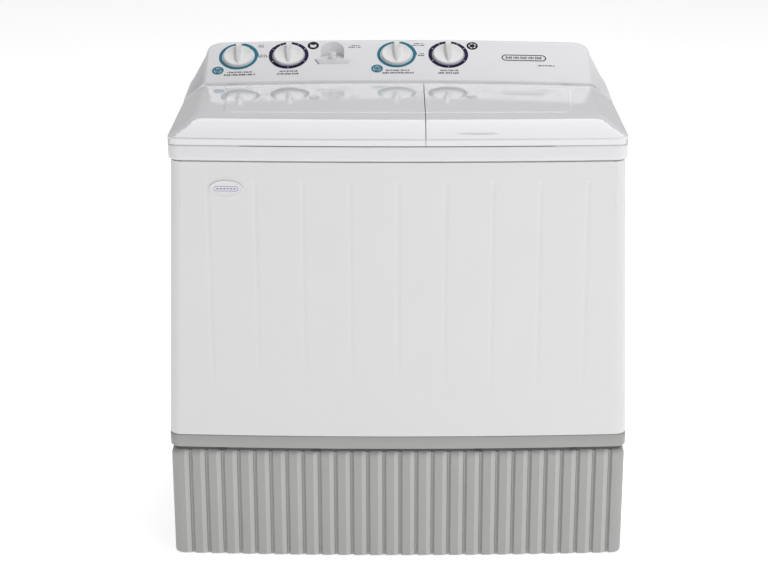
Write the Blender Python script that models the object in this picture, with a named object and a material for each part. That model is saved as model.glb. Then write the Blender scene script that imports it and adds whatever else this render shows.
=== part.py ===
"""Twin tub washer: a wash tub and a spin basket side by side under two lids, with a control console behind.

Metres, +Z up. The origin is on the floor under the middle of the machine. The front faces -Y, and +X is to
the right as seen from the front. "Behind" below is a distance behind the front plane.
"""

import math

import bmesh
import bpy
from mathutils import Matrix, Vector

# Driving dimensions. WIDTH is across the top; the base flares out to twice BASE_HALF.
WIDTH = 0.866
BASE_HALF = 0.4485
DEPTH = 0.520
HALF = WIDTH / 2
FRONT = -DEPTH / 2
BACK = FRONT + 0.515
GAP = 0.0003

# Heights
SKIRT_BOTTOM = 0.002
BASE_FLOOR = 0.016
SKIRT_TOP = 0.227
BAND_BOTTOM = 0.2345
CABINET_BOTTOM = 0.2605
CABINET_TOP = 0.812
DECK_BOTTOM = 0.815
DECK_TOP = 0.8442
DECK_PLATE = 0.007
LID_BOTTOM = DECK_TOP + GAP
LID_LIP = 0.857
LID_TOP = 0.8845
TUB_FLOOR = 0.330
TUB_RIM = DECK_TOP - DECK_PLATE - GAP

# Crowning: the front bows forward and the top bows up at the middle of the machine
FRONT_CROWN = 0.013
TOP_CROWN = 0.0075
TOP_FRONT = FRONT + 0.070
CROWN_ENDS = FRONT + 0.260

# Lids
WALL = 0.003
SEAM = 0.052
SEAM_GAP = 0.0005
LID_REAR = FRONT + 0.3765
HINGE_Y = FRONT + 0.3625
HINGE_Z = 0.8705
LID_EDGE_REAR = 0.3965
LID_EDGE_FRONT = 0.384
EAR_FRONT = FRONT + 0.325
FINGER_GAP_HALF = 0.295
BRACKETS = {"wash": (-0.335, -0.030), "spin": (0.105, 0.345)}
ROD_RADIUS = 0.002
ROD_BORE = 0.0023

# Console
FACE_TILT = math.radians(29.5)
FACE_FOOT = Vector((0, FRONT + 0.3775, LID_TOP))
FACE_LENGTH = 0.131
FACE_HALF = 0.396
CONSOLE_BACK = FRONT + 0.5035
KNOB_UP_SLOPE = 0.0835
KNOB_X = {
    "wash_selector_knob": -0.330,
    "wash_timer_knob": -0.226,
    "cycle_selector_knob": -0.003,
    "spin_timer_knob": 0.104,
}
KNOB_RADIUS = 0.0315
SHAFT_RADIUS = 0.003
INLET_X = -0.136
INLET_Y = FRONT + 0.4495
INLET_FLOOR = 0.9182

# Wash side
WASH_LEFT, WASH_RIGHT = -0.392, 0.020
WASH_FRONT, WASH_REAR = FRONT + 0.030, FRONT + 0.432
WASH_AXIS = ((WASH_LEFT + WASH_RIGHT) / 2, (WASH_FRONT + WASH_REAR) / 2)
WASH_MOTOR_AXIS = (WASH_AXIS[0] - 0.144, WASH_AXIS[1])
DRAIN_ROD = (-0.060, 0.130)

# Spin side
SPIN_AXIS = (0.238, -0.070)
SPIN_TUB_RADIUS = 0.165
BASKET_RADIUS = 0.126
BASKET_TOP = 0.783
COVER_HINGE = (SPIN_AXIS[0], 0.077, LID_BOTTOM + 0.005)
BRAKE_PIVOT = (SPIN_AXIS[0] + 0.066, SPIN_AXIS[1] - 0.045)

# Base
FLUTES = 27
FLUTE_PITCH = 0.0318
FLUTE_START = -0.4081
SIDE_FLUTES = 14

# Colour, roughness and metallic value of each finish
FINISHES = {
    "white_gloss": ((0.80, 0.81, 0.83), 0.25, 0.0),
    "white_panel": ((0.78, 0.79, 0.80), 0.35, 0.0),
    "grey_plastic": ((0.42, 0.42, 0.41), 0.5, 0.0),
    "tub_plastic": ((0.75, 0.78, 0.80), 0.4, 0.0),
    "blue_plastic": ((0.25, 0.45, 0.62), 0.4, 0.0),
    "knob_white": ((0.83, 0.83, 0.84), 0.3, 0.0),
    "dark_plastic": ((0.05, 0.05, 0.06), 0.5, 0.0),
    "steel": ((0.60, 0.60, 0.62), 0.3, 1.0),
    "motor_alloy": ((0.50, 0.51, 0.53), 0.45, 0.9),
    "rubber": ((0.03, 0.03, 0.03), 0.8, 0.0),
}


def clamp(value):
    return max(0.0, min(1.0, value))


def mix(a, b, share):
    return a + (b - a) * share


def crowned(x, y, z):
    side = (x / HALF) ** 2
    front_share = clamp((CROWN_ENDS - y) / (CROWN_ENDS - TOP_FRONT))
    rear_share = clamp((y - TOP_FRONT) / (HINGE_Y - TOP_FRONT))
    high_share = clamp((z - LID_BOTTOM) / (LID_TOP - LID_BOTTOM))
    bow = FRONT_CROWN * side * front_share
    drop = TOP_CROWN * side * rear_share * high_share
    return Vector((x, y + bow, z - drop))


def face_point(x, up_slope, out=0.0):
    """A point on the console's face, up_slope from its foot and out along its normal."""
    y = FACE_FOOT.y + up_slope * math.cos(FACE_TILT) - out * math.sin(FACE_TILT)
    z = FACE_FOOT.z + up_slope * math.sin(FACE_TILT) + out * math.cos(FACE_TILT)
    return Vector((x, y, z))


def finish(name):
    found = bpy.data.materials.get(name)
    if found:
        return found
    colour, roughness, metallic = FINISHES[name]
    made = bpy.data.materials.new(name)
    made.use_nodes = True
    shader = made.node_tree.nodes["Principled BSDF"]
    shader.inputs["Base Color"].default_value = (*colour, 1.0)
    shader.inputs["Roughness"].default_value = roughness
    shader.inputs["Metallic"].default_value = metallic
    return made


def add_object(name, mesh, material, origin=(0, 0, 0)):
    """Makes the bmesh an object whose origin is at that world point."""
    bmesh.ops.recalc_face_normals(mesh, faces=mesh.faces)
    bmesh.ops.translate(mesh, verts=mesh.verts, vec=-Vector(origin))
    data = bpy.data.meshes.new(name)
    mesh.to_mesh(data)
    mesh.free()
    data.shade_smooth()
    data.set_sharp_from_angle(angle=math.radians(35))
    made = bpy.data.objects.new(name, data)
    made.location = origin
    bpy.context.scene.collection.objects.link(made)
    if material:
        data.materials.append(finish(material))
    return made


def tool(name, mesh):
    """A cutter or a shape to unite, left out of the render."""
    made = add_object(name, mesh, None)
    made.hide_render = True
    made.display_type = "WIRE"
    return made


def combine(target, other, operation="DIFFERENCE"):
    modifier = target.modifiers.new(other.name, "BOOLEAN")
    modifier.operation = operation
    modifier.solver = "EXACT"
    modifier.object = other


def skin(rings, closed=False):
    """A bmesh through outlines of equal length. The ends are capped, or the last ring meets the first."""
    mesh = bmesh.new()
    loops = [[mesh.verts.new(point) for point in ring] for ring in rings]
    following = loops[1:] + loops[:1] if closed else loops[1:]
    for near, far in zip(loops, following):
        for i in range(len(near)):
            j = (i + 1) % len(near)
            mesh.faces.new((near[i], near[j], far[j], far[i]))
    if not closed:
        mesh.faces.new(loops[0])
        mesh.faces.new(loops[-1])
    return mesh


def boxes(corners):
    """A bmesh of separate boxes, each given by its lowest and highest corner."""
    mesh = bmesh.new()
    for low, high in corners:
        middle = (Vector(low) + Vector(high)) / 2
        size = Vector(high) - Vector(low)
        place = Matrix.Translation(middle) @ Matrix.Diagonal((*size, 1))
        bmesh.ops.create_cube(mesh, size=1, matrix=place)
    return mesh


def circle(radius, z, sides, centre=(0, 0)):
    return [
        Vector((
            centre[0] + radius * math.cos(math.tau * i / sides),
            centre[1] + radius * math.sin(math.tau * i / sides),
            z,
        ))
        for i in range(sides)
    ]


def turned(profile, centre, sides=32, closed=False):
    """A bmesh turned about a vertical axis through centre, from (radius, z) points."""
    return skin([circle(radius, z, sides, centre) for radius, z in profile], closed)


def along_x(mesh, x, y, z):
    """Turns a bmesh made about the vertical axis so that its axis is along X at that point."""
    bmesh.ops.transform(
        mesh,
        verts=mesh.verts,
        matrix=Matrix.Translation((x, y, z)) @ Matrix.Rotation(math.pi / 2, 4, "Y"),
    )
    return mesh


def along_y(mesh, x, y, z):
    """Turns a bmesh made about the vertical axis so that its axis is along -Y at that point."""
    bmesh.ops.transform(
        mesh,
        verts=mesh.verts,
        matrix=Matrix.Translation((x, y, z)) @ Matrix.Rotation(math.pi / 2, 4, "X"),
    )
    return mesh


def rounded(corners, steps=3, splits=()):
    """Outline from (x, y, radius) corners. Edge i, after corner i, is cut into splits[i] parts."""
    points = []
    count = len(corners)
    for i, (x, y, radius) in enumerate(corners):
        corner = Vector((x, y))
        before = Vector(corners[i - 1][:2]) - corner
        after = Vector(corners[(i + 1) % count][:2]) - corner
        reach = radius / math.tan(before.angle(after) / 2)
        start = corner + before.normalized() * reach
        end = corner + after.normalized() * reach
        for step in range(steps + 1):
            t = step / steps
            points.append(start * (1 - t) ** 2 + corner * 2 * t * (1 - t) + end * t**2)
        parts = splits[i] if i < len(splits) else 1
        next_x, next_y, next_radius = corners[(i + 1) % count]
        following = Vector((next_x, next_y))
        next_before = corner - following
        next_after = Vector(corners[(i + 2) % count][:2]) - following
        next_reach = next_radius / math.tan(next_before.angle(next_after) / 2)
        target = following + next_before.normalized() * next_reach
        for part in range(1, parts):
            points.append(end.lerp(target, part / parts))
    return points


def body_ring(z, half, behind, radius, back=BACK):
    """Plan outline of the casing at a height: half width, distance behind the front plane, corner radius."""
    front = FRONT + behind
    corners = [
        (-half, front, radius),
        (half, front, radius),
        (half, back, radius),
        (-half, back, radius),
    ]
    outline = rounded(corners, steps=3, splits=(8, 1, 1, 1))
    return [crowned(p.x, p.y, z) for p in outline]


def build_feet():
    for number, (x, y) in enumerate([(-0.36, -0.20), (0.36, -0.20), (-0.36, 0.20), (0.36, 0.20)], 1):
        profile = [(0.020, 0), (0.022, 0.003), (0.022, 0.0117)]
        add_object(f"foot_{number}", turned(profile, (x, y), 16), "rubber", (x, y, 0))


def flute_grooves():
    """Square grooves down the skirt's front and sides, open at the bottom."""
    half_width, depth, top = 0.0024, 0.0024, SKIRT_TOP - 0.008
    corners = []
    for i in range(FLUTES):
        x = FLUTE_START + i * FLUTE_PITCH
        y = crowned(x, FRONT + 0.0035, 0).y
        corners.append(((x - half_width, y - depth, -0.01), (x + half_width, y + depth, top)))
    for i in range(SIDE_FLUTES):
        y = (i - (SIDE_FLUTES - 1) / 2) * FLUTE_PITCH
        for side in (-1, 1):
            x = side * (BASE_HALF - 0.0018)
            corners.append(((x - 0.003, y - half_width, -0.01), (x + 0.003, y + half_width, top)))
    return tool("flute_grooves", boxes(corners))


def build_base():
    rings = [
        body_ring(BASE_FLOOR - 0.004, BASE_HALF - 0.006, 0.008, 0.014, BACK - 0.008),
        body_ring(SKIRT_BOTTOM, BASE_HALF - 0.006, 0.008, 0.014, BACK - 0.008),
        body_ring(SKIRT_BOTTOM, BASE_HALF - 0.002, 0.004, 0.018, BACK - 0.004),
        body_ring(SKIRT_TOP, BASE_HALF - 0.0015, 0.003, 0.018, BACK - 0.003),
        body_ring(SKIRT_TOP, BASE_HALF - 0.0105, 0.011, 0.012, BACK - 0.011),
        body_ring(CABINET_BOTTOM - 0.0008, BASE_HALF - 0.0105, 0.011, 0.012, BACK - 0.011),
        body_ring(CABINET_BOTTOM - 0.0008, BASE_HALF - 0.0145, 0.015, 0.010, BACK - 0.015),
        body_ring(BASE_FLOOR, BASE_HALF - 0.0145, 0.015, 0.010, BACK - 0.015),
    ]
    skirt = add_object("base_skirt", skin(rings), "grey_plastic")
    combine(skirt, flute_grooves())
    outlet_hole = along_y(turned([(0.0165, -0.03), (0.0165, 0.03)], (0, 0), 20), -0.05, BACK, 0.10)
    combine(skirt, tool("outlet_hole", outlet_hole))
    band = [
        body_ring(BAND_BOTTOM, BASE_HALF - 0.0003, 0.0005, 0.020),
        body_ring(CABINET_BOTTOM - GAP, BASE_HALF, 0.0, 0.020),
        body_ring(CABINET_BOTTOM - GAP, BASE_HALF - 0.010, 0.0105, 0.012, BACK - 0.0105),
        body_ring(BAND_BOTTOM, BASE_HALF - 0.010, 0.0105, 0.012, BACK - 0.0105),
    ]
    add_object("base_band", skin(band, closed=True), "grey_plastic")
    outlet = [(0.0130, 0.040), (0.0160, 0.040), (0.0160, -0.005), (0.0130, -0.005)]
    outlet_mesh = along_y(turned(outlet, (0, 0), 20, closed=True), -0.05, BACK, 0.10)
    add_object("drain_outlet", outlet_mesh, "dark_plastic", (-0.05, BACK, 0.10))


def build_cabinet():
    rings = [
        body_ring(CABINET_BOTTOM, BASE_HALF - 0.0005, 0.0, 0.020),
        body_ring(CABINET_TOP, 0.4280, 0.004, 0.020),
        body_ring(CABINET_TOP, 0.4280 - WALL, 0.007, 0.017, BACK - WALL),
        body_ring(CABINET_BOTTOM, BASE_HALF - 0.0005 - WALL, 0.003, 0.017, BACK - WALL),
    ]
    cabinet = add_object("cabinet", skin(rings, closed=True), "white_panel")
    opening = boxes([((-0.36, BACK - 0.01, 0.30), (0.36, BACK + 0.01, 0.77))])
    combine(cabinet, tool("service_opening", opening))


def build_rear_cover():
    inner, outer = BACK + GAP, BACK + 0.0025
    cover = add_object("rear_cover", boxes([((-0.38, inner, 0.28), (0.38, outer, 0.79))]), "white_panel")
    slots = []
    for row in range(6):
        z = 0.35 + 0.022 * row
        for x in (-0.20, 0.20):
            slots.append(((x - 0.06, inner - 0.01, z), (x + 0.06, outer + 0.01, z + 0.006)))
    combine(cover, tool("louvre_slots", boxes(slots)))
    gland_at = (0.32, BACK, 0.32)
    hole = along_y(turned([(0.0095, -0.02), (0.0095, 0.02)], (0, 0), 16), *gland_at)
    combine(cover, tool("gland_hole", hole))
    profile = [
        (0.004, 0.008), (0.009, 0.008), (0.009, -0.0028),
        (0.013, -0.0028), (0.011, -0.005), (0.004, -0.005),
    ]
    gland = along_y(turned(profile, (0, 0), 16, closed=True), *gland_at)
    add_object("cord_gland", gland, "dark_plastic", gland_at)


def wash_opening_outline():
    left, right, front, rear, corner = -0.375, 0.005, FRONT + 0.045, FRONT + 0.335, 0.05
    corners = [(left, front, corner), (right, front, corner), (right, rear, corner), (left, rear, corner)]
    return rounded(corners, 5)


def build_deck():
    rings = [
        body_ring(DECK_TOP, 0.4318, 0.002, 0.022),
        body_ring(DECK_TOP - 0.003, 0.4325, 0.0013, 0.022),
        body_ring(DECK_BOTTOM, 0.4325, 0.0013, 0.022),
        body_ring(DECK_BOTTOM, 0.4235, 0.0085, 0.016, BACK - 0.0045),
        body_ring(CABINET_TOP - 0.005, 0.4235, 0.0085, 0.016, BACK - 0.0045),
        body_ring(CABINET_TOP - 0.005, 0.4205, 0.0115, 0.013, BACK - 0.0075),
        body_ring(DECK_TOP - DECK_PLATE, 0.4205, 0.0115, 0.013, BACK - 0.0075),
    ]
    deck = add_object("top_deck", skin(rings), "white_gloss")
    low, high = DECK_BOTTOM, DECK_TOP + 0.01
    wash_hole = skin([[Vector((p.x, p.y, z)) for p in wash_opening_outline()] for z in (low, high)])
    combine(deck, tool("wash_opening", wash_hole))
    combine(deck, tool("spin_opening", turned([(0.132, low), (0.132, high)], SPIN_AXIS, 40)))
    combine(deck, tool("drain_rod_hole", turned([(0.006, low), (0.006, high)], DRAIN_ROD, 12)))
    notch = ((-FINGER_GAP_HALF, FRONT - 0.01, DECK_TOP - 0.0047), (FINGER_GAP_HALF, FRONT + 0.022, high))
    combine(deck, tool("finger_notch", boxes([notch])))


def lid_ring(z, side, inset=0.0):
    """Plan outline of a lid at a height. side is -1 for the wash lid and 1 for the spin lid."""
    slope = clamp((z + inset - LID_LIP) / (LID_TOP - LID_LIP))
    draft = clamp((LID_LIP - z) / (LID_LIP - LID_BOTTOM))
    edge = HALF - 0.0002 - 0.0006 * draft
    front = mix(FRONT + 0.002, TOP_FRONT, slope) + 0.0006 * draft + inset
    height = clamp((z + inset - HINGE_Z) / (LID_TOP - HINGE_Z))
    rear = HINGE_Y + (LID_REAR - HINGE_Y) * math.sqrt(1 - height**2) - inset * (1 - height)
    front_x = mix(edge, LID_EDGE_FRONT, slope) - inset
    rear_x = LID_EDGE_REAR - inset
    ear_x = mix(edge, LID_EDGE_REAR, slope) - inset
    ear_y = min(mix(EAR_FRONT, LID_REAR - 0.0065, slope) - inset, rear - 0.002)
    seam = SEAM + side * (SEAM_GAP + inset)
    corners = [
        (side * front_x, front, 0.014 - inset),
        (seam, front, 0.001),
        (seam, rear, 0.001),
        (side * rear_x, rear, 0.001),
        (side * ear_x, ear_y, 0.001),
    ]
    outline = rounded(corners, steps=2, splits=(5, 1, 5, 1, 1))
    return [crowned(p.x, p.y, z) for p in outline]


def lid_cutter(side):
    """Clears the rear wall and the bracket notches, so that the lid swings free of the deck."""
    outer, inner = side * (HALF + 0.01), SEAM
    low_x, high_x = min(outer, inner), max(outer, inner)
    corners = [((low_x, HINGE_Y - 0.004, LID_BOTTOM - 0.01), (high_x, LID_REAR + 0.01, HINGE_Z))]
    for x in BRACKETS["wash" if side < 0 else "spin"]:
        corners.append((
            (x - 0.0085, HINGE_Y - 0.001, HINGE_Z - 0.001),
            (x + 0.0085, LID_REAR + 0.01, HINGE_Z + 0.0075),
        ))
    return corners


def build_lid(name, side):
    heights = [LID_TOP, LID_TOP - 0.0019, LID_TOP - 0.007, HINGE_Z, LID_LIP, LID_BOTTOM]
    inner_heights = [LID_BOTTOM, LID_LIP - 0.001, HINGE_Z, LID_TOP - 0.0075, LID_TOP - WALL]
    rings = [lid_ring(z, side) for z in heights]
    rings += [lid_ring(z, side, WALL) for z in inner_heights]
    origin = (0, HINGE_Y, HINGE_Z)
    lid = add_object(f"{name}_lid", skin(rings), "white_gloss", origin)
    near, far = BRACKETS[name]
    ears = []
    for x in (near - 0.013, far + 0.013):
        top = crowned(x, HINGE_Y, LID_TOP - 0.0015).z
        ears.append(((x - 0.004, HINGE_Y - 0.005, HINGE_Z - 0.005), (x + 0.004, HINGE_Y + 0.005, top)))
    rear_wall, *notches = lid_cutter(side)
    combine(lid, tool(f"{name}_lid_rear_cut", boxes([rear_wall])))
    combine(lid, tool(f"{name}_lid_notches", boxes(notches)))
    combine(lid, tool(f"{name}_lid_ears", boxes(ears)), "UNION")
    reach = (far - near) / 2 + 0.05
    middle = (near + far) / 2
    bore = along_x(turned([(ROD_BORE, -reach), (ROD_BORE, reach)], (0, 0), 12), middle, HINGE_Y, HINGE_Z)
    combine(lid, tool(f"{name}_lid_bore", bore))
    half = (far - near) / 2 + 0.015
    rod = along_x(turned([(ROD_RADIUS, -half), (ROD_RADIUS, half)], (0, 0), 12), middle, HINGE_Y, HINGE_Z)
    add_object(f"{name}_lid_hinge_rod", rod, "steel", origin)
    for number, x in enumerate((near, far), 1):
        build_bracket(f"{name}_lid_bracket_{number}", (x, HINGE_Y, HINGE_Z), 0.006, 0.0048)


def build_bracket(name, axis, half_width, radius):
    """A post on the deck with a round top and a bore along X."""
    x, y, z = axis
    arc = [
        (y + radius * math.cos(math.pi * i / 8), z + radius * math.sin(math.pi * i / 8))
        for i in range(9)
    ]
    profile = [(y + radius, LID_BOTTOM), *arc, (y - radius, LID_BOTTOM)]
    rings = [[Vector((at, py, pz)) for py, pz in profile] for at in (x - half_width, x + half_width)]
    bracket = add_object(name, skin(rings), "dark_plastic", axis)
    reach = half_width + 0.002
    bore = along_x(turned([(ROD_BORE, -reach), (ROD_BORE, reach)], (0, 0), 12), x, y, z)
    combine(bracket, tool(f"{name}_bore", bore))


def console_profile(x, inset=0.0):
    """Side view outline of the console at a place along X. The ends sweep forward as low ears."""
    end_share = clamp((abs(x) - FACE_HALF) / (HALF - FACE_HALF))
    foot_y = mix(FACE_FOOT.y, EAR_FRONT + 0.001, end_share) + inset
    foot_z = mix(LID_TOP - 0.003, LID_LIP + 0.0005, end_share) - inset
    bevel_y = foot_y - inset + 0.003
    bevel_z = mix(face_height(FACE_FOOT.y + 0.003), LID_LIP + 0.0025, end_share) - inset
    top = face_point(x, FACE_LENGTH - 0.003)
    top_z = mix(top.z, LID_TOP + 0.002, end_share) - inset
    crest_z = mix(top.z + 0.0005, LID_TOP + 0.003, end_share) - inset
    shoulder_z = mix(top.z - 0.006, LID_TOP - 0.0015, end_share) - inset
    base_z = LID_BOTTOM - (0.01 if inset else 0)
    back = CONSOLE_BACK - inset
    profile = [
        (foot_y, base_z),
        (foot_y, foot_z),
        (max(bevel_y, foot_y), bevel_z),
        (top.y, top_z),
        (top.y + 0.005, crest_z),
        (back, shoulder_z),
        (back, base_z),
    ]
    return [crowned(x, y, z) for y, z in profile]


def build_console():
    stations = [-HALF + 0.0002, -FACE_HALF]
    stations += [FACE_HALF * i / 3 for i in range(-2, 3)]
    stations += [FACE_HALF, HALF - 0.0002]
    housing = add_object("console_housing", skin([console_profile(x) for x in stations]), "white_gloss")
    inner = [-HALF + 0.005, -FACE_HALF + 0.001, *stations[2:-2], FACE_HALF - 0.001, HALF - 0.005]
    combine(housing, tool("console_hollow", skin([console_profile(x, WALL) for x in inner])))
    combine(housing, tool("inlet_boss", inlet_boss()), "UNION")
    combine(housing, tool("inlet_niche", inlet_niche()))
    inlet_hole = turned([(0.0078, LID_TOP), (0.0078, INLET_FLOOR + 0.02)], (INLET_X, INLET_Y), 16)
    combine(housing, tool("inlet_hole", inlet_hole))
    for name, x in KNOB_X.items():
        hole = turned([(0.006, -0.01), (0.006, 0.01)], (0, 0), 12)
        bmesh.ops.transform(hole, matrix=face_frame(x), verts=hole.verts)
        combine(housing, tool(f"{name}_hole", hole))
    back_hole = boxes([((-0.35, CONSOLE_BACK - 0.01, 0.859), (0.35, CONSOLE_BACK + 0.01, 0.907))])
    combine(housing, tool("console_back_hole", back_hole))
    panel = boxes([((-0.37, CONSOLE_BACK + GAP, 0.851), (0.37, CONSOLE_BACK + 0.0023, 0.915))])
    add_object("console_rear_panel", panel, "white_panel")


def inlet_boss():
    """Thick floor and sides for the inlet niche, just under the face."""
    front, rear = INLET_Y - 0.022, CONSOLE_BACK - 0.006
    under, base = 0.0012, INLET_FLOOR - 0.0132
    rings = []
    for x in (INLET_X - 0.029, INLET_X + 0.029):
        front_top = face_height(front) - under
        rear_top = face_height(rear - 0.006) - under - 0.002
        points = [
            (front, base), (front, front_top), (rear - 0.006, rear_top),
            (rear, rear_top - 0.004), (rear, base),
        ]
        rings.append([crowned(x, y, z) for y, z in points])
    return skin(rings)


def face_height(y):
    return FACE_FOOT.z + (y - FACE_FOOT.y) * math.tan(FACE_TILT)


def inlet_niche():
    """A round-backed slot cut straight down into the face."""
    radius = 0.025
    centre_y = INLET_Y + 0.0125
    arc = [
        (INLET_X + radius * math.cos(math.pi * i / 12), centre_y + radius * math.sin(math.pi * i / 12))
        for i in range(13)
    ]
    outline = [(INLET_X + radius, INLET_Y - 0.03), *arc, (INLET_X - radius, INLET_Y - 0.03)]
    return skin([[Vector((x, y, z)) for x, y in outline] for z in (INLET_FLOOR, INLET_FLOOR + 0.06)])


def build_water_inlet():
    low, shoulder, high = INLET_FLOOR - 0.0342, INLET_FLOOR + GAP, INLET_FLOOR + 0.0133
    profile = [
        (0.0055, low), (0.0072, low), (0.0072, shoulder),
        (0.00875, shoulder), (0.00875, high), (0.0055, high),
    ]
    mesh = turned(profile, (INLET_X, INLET_Y), 16, closed=True)
    add_object("water_inlet", mesh, "white_gloss", (INLET_X, INLET_Y, INLET_FLOOR))


def face_frame(x):
    """Places local +Z along the face's normal at a knob's centre."""
    drop = face_point(x, KNOB_UP_SLOPE) - crowned(*face_point(x, KNOB_UP_SLOPE))
    return Matrix.Translation(face_point(x, KNOB_UP_SLOPE) - drop) @ Matrix.Rotation(FACE_TILT, 4, "X")


def place_on_face(made, x):
    made.matrix_world = face_frame(x)
    return made


def build_knobs():
    clear = 0.0008
    for name, x in KNOB_X.items():
        profile = [
            (SHAFT_RADIUS, -0.022),
            (SHAFT_RADIUS, clear),
            (KNOB_RADIUS, clear),
            (KNOB_RADIUS, 0.0035),
            (KNOB_RADIUS * 0.93, 0.0065),
            (KNOB_RADIUS * 0.45, 0.0080),
        ]
        knob = place_on_face(add_object(name, turned(profile, (0, 0), 32), "knob_white"), x)
        grip_profile = [
            (0.0055, 0.002), (0.0055, 0.0095), (0.0035, 0.0125),
            (-0.0035, 0.0125), (-0.0055, 0.0095), (-0.0055, 0.002),
        ]
        rings = [[Vector((px, y, pz)) for px, pz in grip_profile] for y in (-0.030, 0.0335)]
        grip = place_on_face(tool(f"{name}_grip", skin(rings)), x)
        combine(knob, grip, "UNION")


def build_controls():
    bore = SHAFT_RADIUS + 0.0004
    top = -0.0036
    timers = {"wash_timer": "wash_timer_knob", "spin_timer": "spin_timer_knob"}
    for name, knob in timers.items():
        profile = [(bore, top), (0.026, top), (0.028, top - 0.006), (0.028, top - 0.036), (bore, top - 0.036)]
        timer = add_object(name, turned(profile, (0, 0), 24, closed=True), "dark_plastic")
        place_on_face(timer, KNOB_X[knob])
    switches = {"wash_selector_switch": "wash_selector_knob", "cycle_selector_linkage": "cycle_selector_knob"}
    for name, knob in switches.items():
        corners = ((-0.022, -0.018), (0.022, -0.018), (0.022, 0.018), (-0.022, 0.018))
        outer = [Vector((x, y, 0)) for x, y in corners]
        body = skin([[p + Vector((0, 0, z)) for p in outer] for z in (top - 0.030, top)])
        made = place_on_face(add_object(name, body, "dark_plastic"), KNOB_X[knob])
        hole = tool(f"{name}_bore", turned([(bore, -0.05), (bore, 0.01)], (0, 0), 12))
        combine(made, place_on_face(hole, KNOB_X[knob]))


def tub_ring(z, inset):
    corner = 0.06 - inset / 2
    left, right = WASH_LEFT + inset, WASH_RIGHT - inset
    front, rear = WASH_FRONT + inset, WASH_REAR - inset
    corners = [(left, front, corner), (right, front, corner), (right, rear, corner), (left, rear, corner)]
    outline = rounded(corners, 4)
    return [Vector((p.x, p.y, z)) for p in outline]


def build_wash_tub():
    rings = [
        tub_ring(TUB_FLOOR + 0.006, 0.021),
        tub_ring(TUB_FLOOR + 0.030, 0.008),
        tub_ring(TUB_RIM, 0.003),
        tub_ring(TUB_RIM, 0.0),
        tub_ring(TUB_FLOOR + 0.028, 0.005),
        tub_ring(TUB_FLOOR, 0.018),
    ]
    tub = add_object("wash_tub", skin(rings), "tub_plastic")
    for name, radius, centre in (("pulsator_shaft_hole", 0.011, WASH_AXIS), ("drain_hole", 0.014, DRAIN_ROD)):
        hole = turned([(radius, TUB_FLOOR - 0.01), (radius, TUB_FLOOR + 0.02)], centre, 16)
        combine(tub, tool(name, hole))
    left, right = WASH_LEFT + 0.0093, WASH_LEFT + 0.042
    front, rear, top = WASH_AXIS[1] - 0.05, WASH_AXIS[1] + 0.05, TUB_RIM - 0.068
    block = boxes([((left, front, top - 0.28), (right, rear, top))])
    channel = add_object("filter_channel", block, "tub_plastic")
    slot = ((left + 0.0095, front + 0.003, top - 0.25), (right - 0.003, rear - 0.003, top + 0.01))
    combine(channel, tool("filter_slot", boxes([slot])))
    low = (left + 0.010, front + 0.0035, top - 0.17)
    high = (right - 0.0035, rear - 0.0035, top + 0.005)
    lint = add_object("lint_filter", boxes([(low, high)]), "blue_plastic", (0, 0, 0))
    grip = boxes([((low[0] + 0.003, front + 0.02, top - 0.02), (high[0] - 0.003, rear - 0.02, top + 0.02))])
    combine(lint, tool("lint_pocket", grip))


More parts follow.
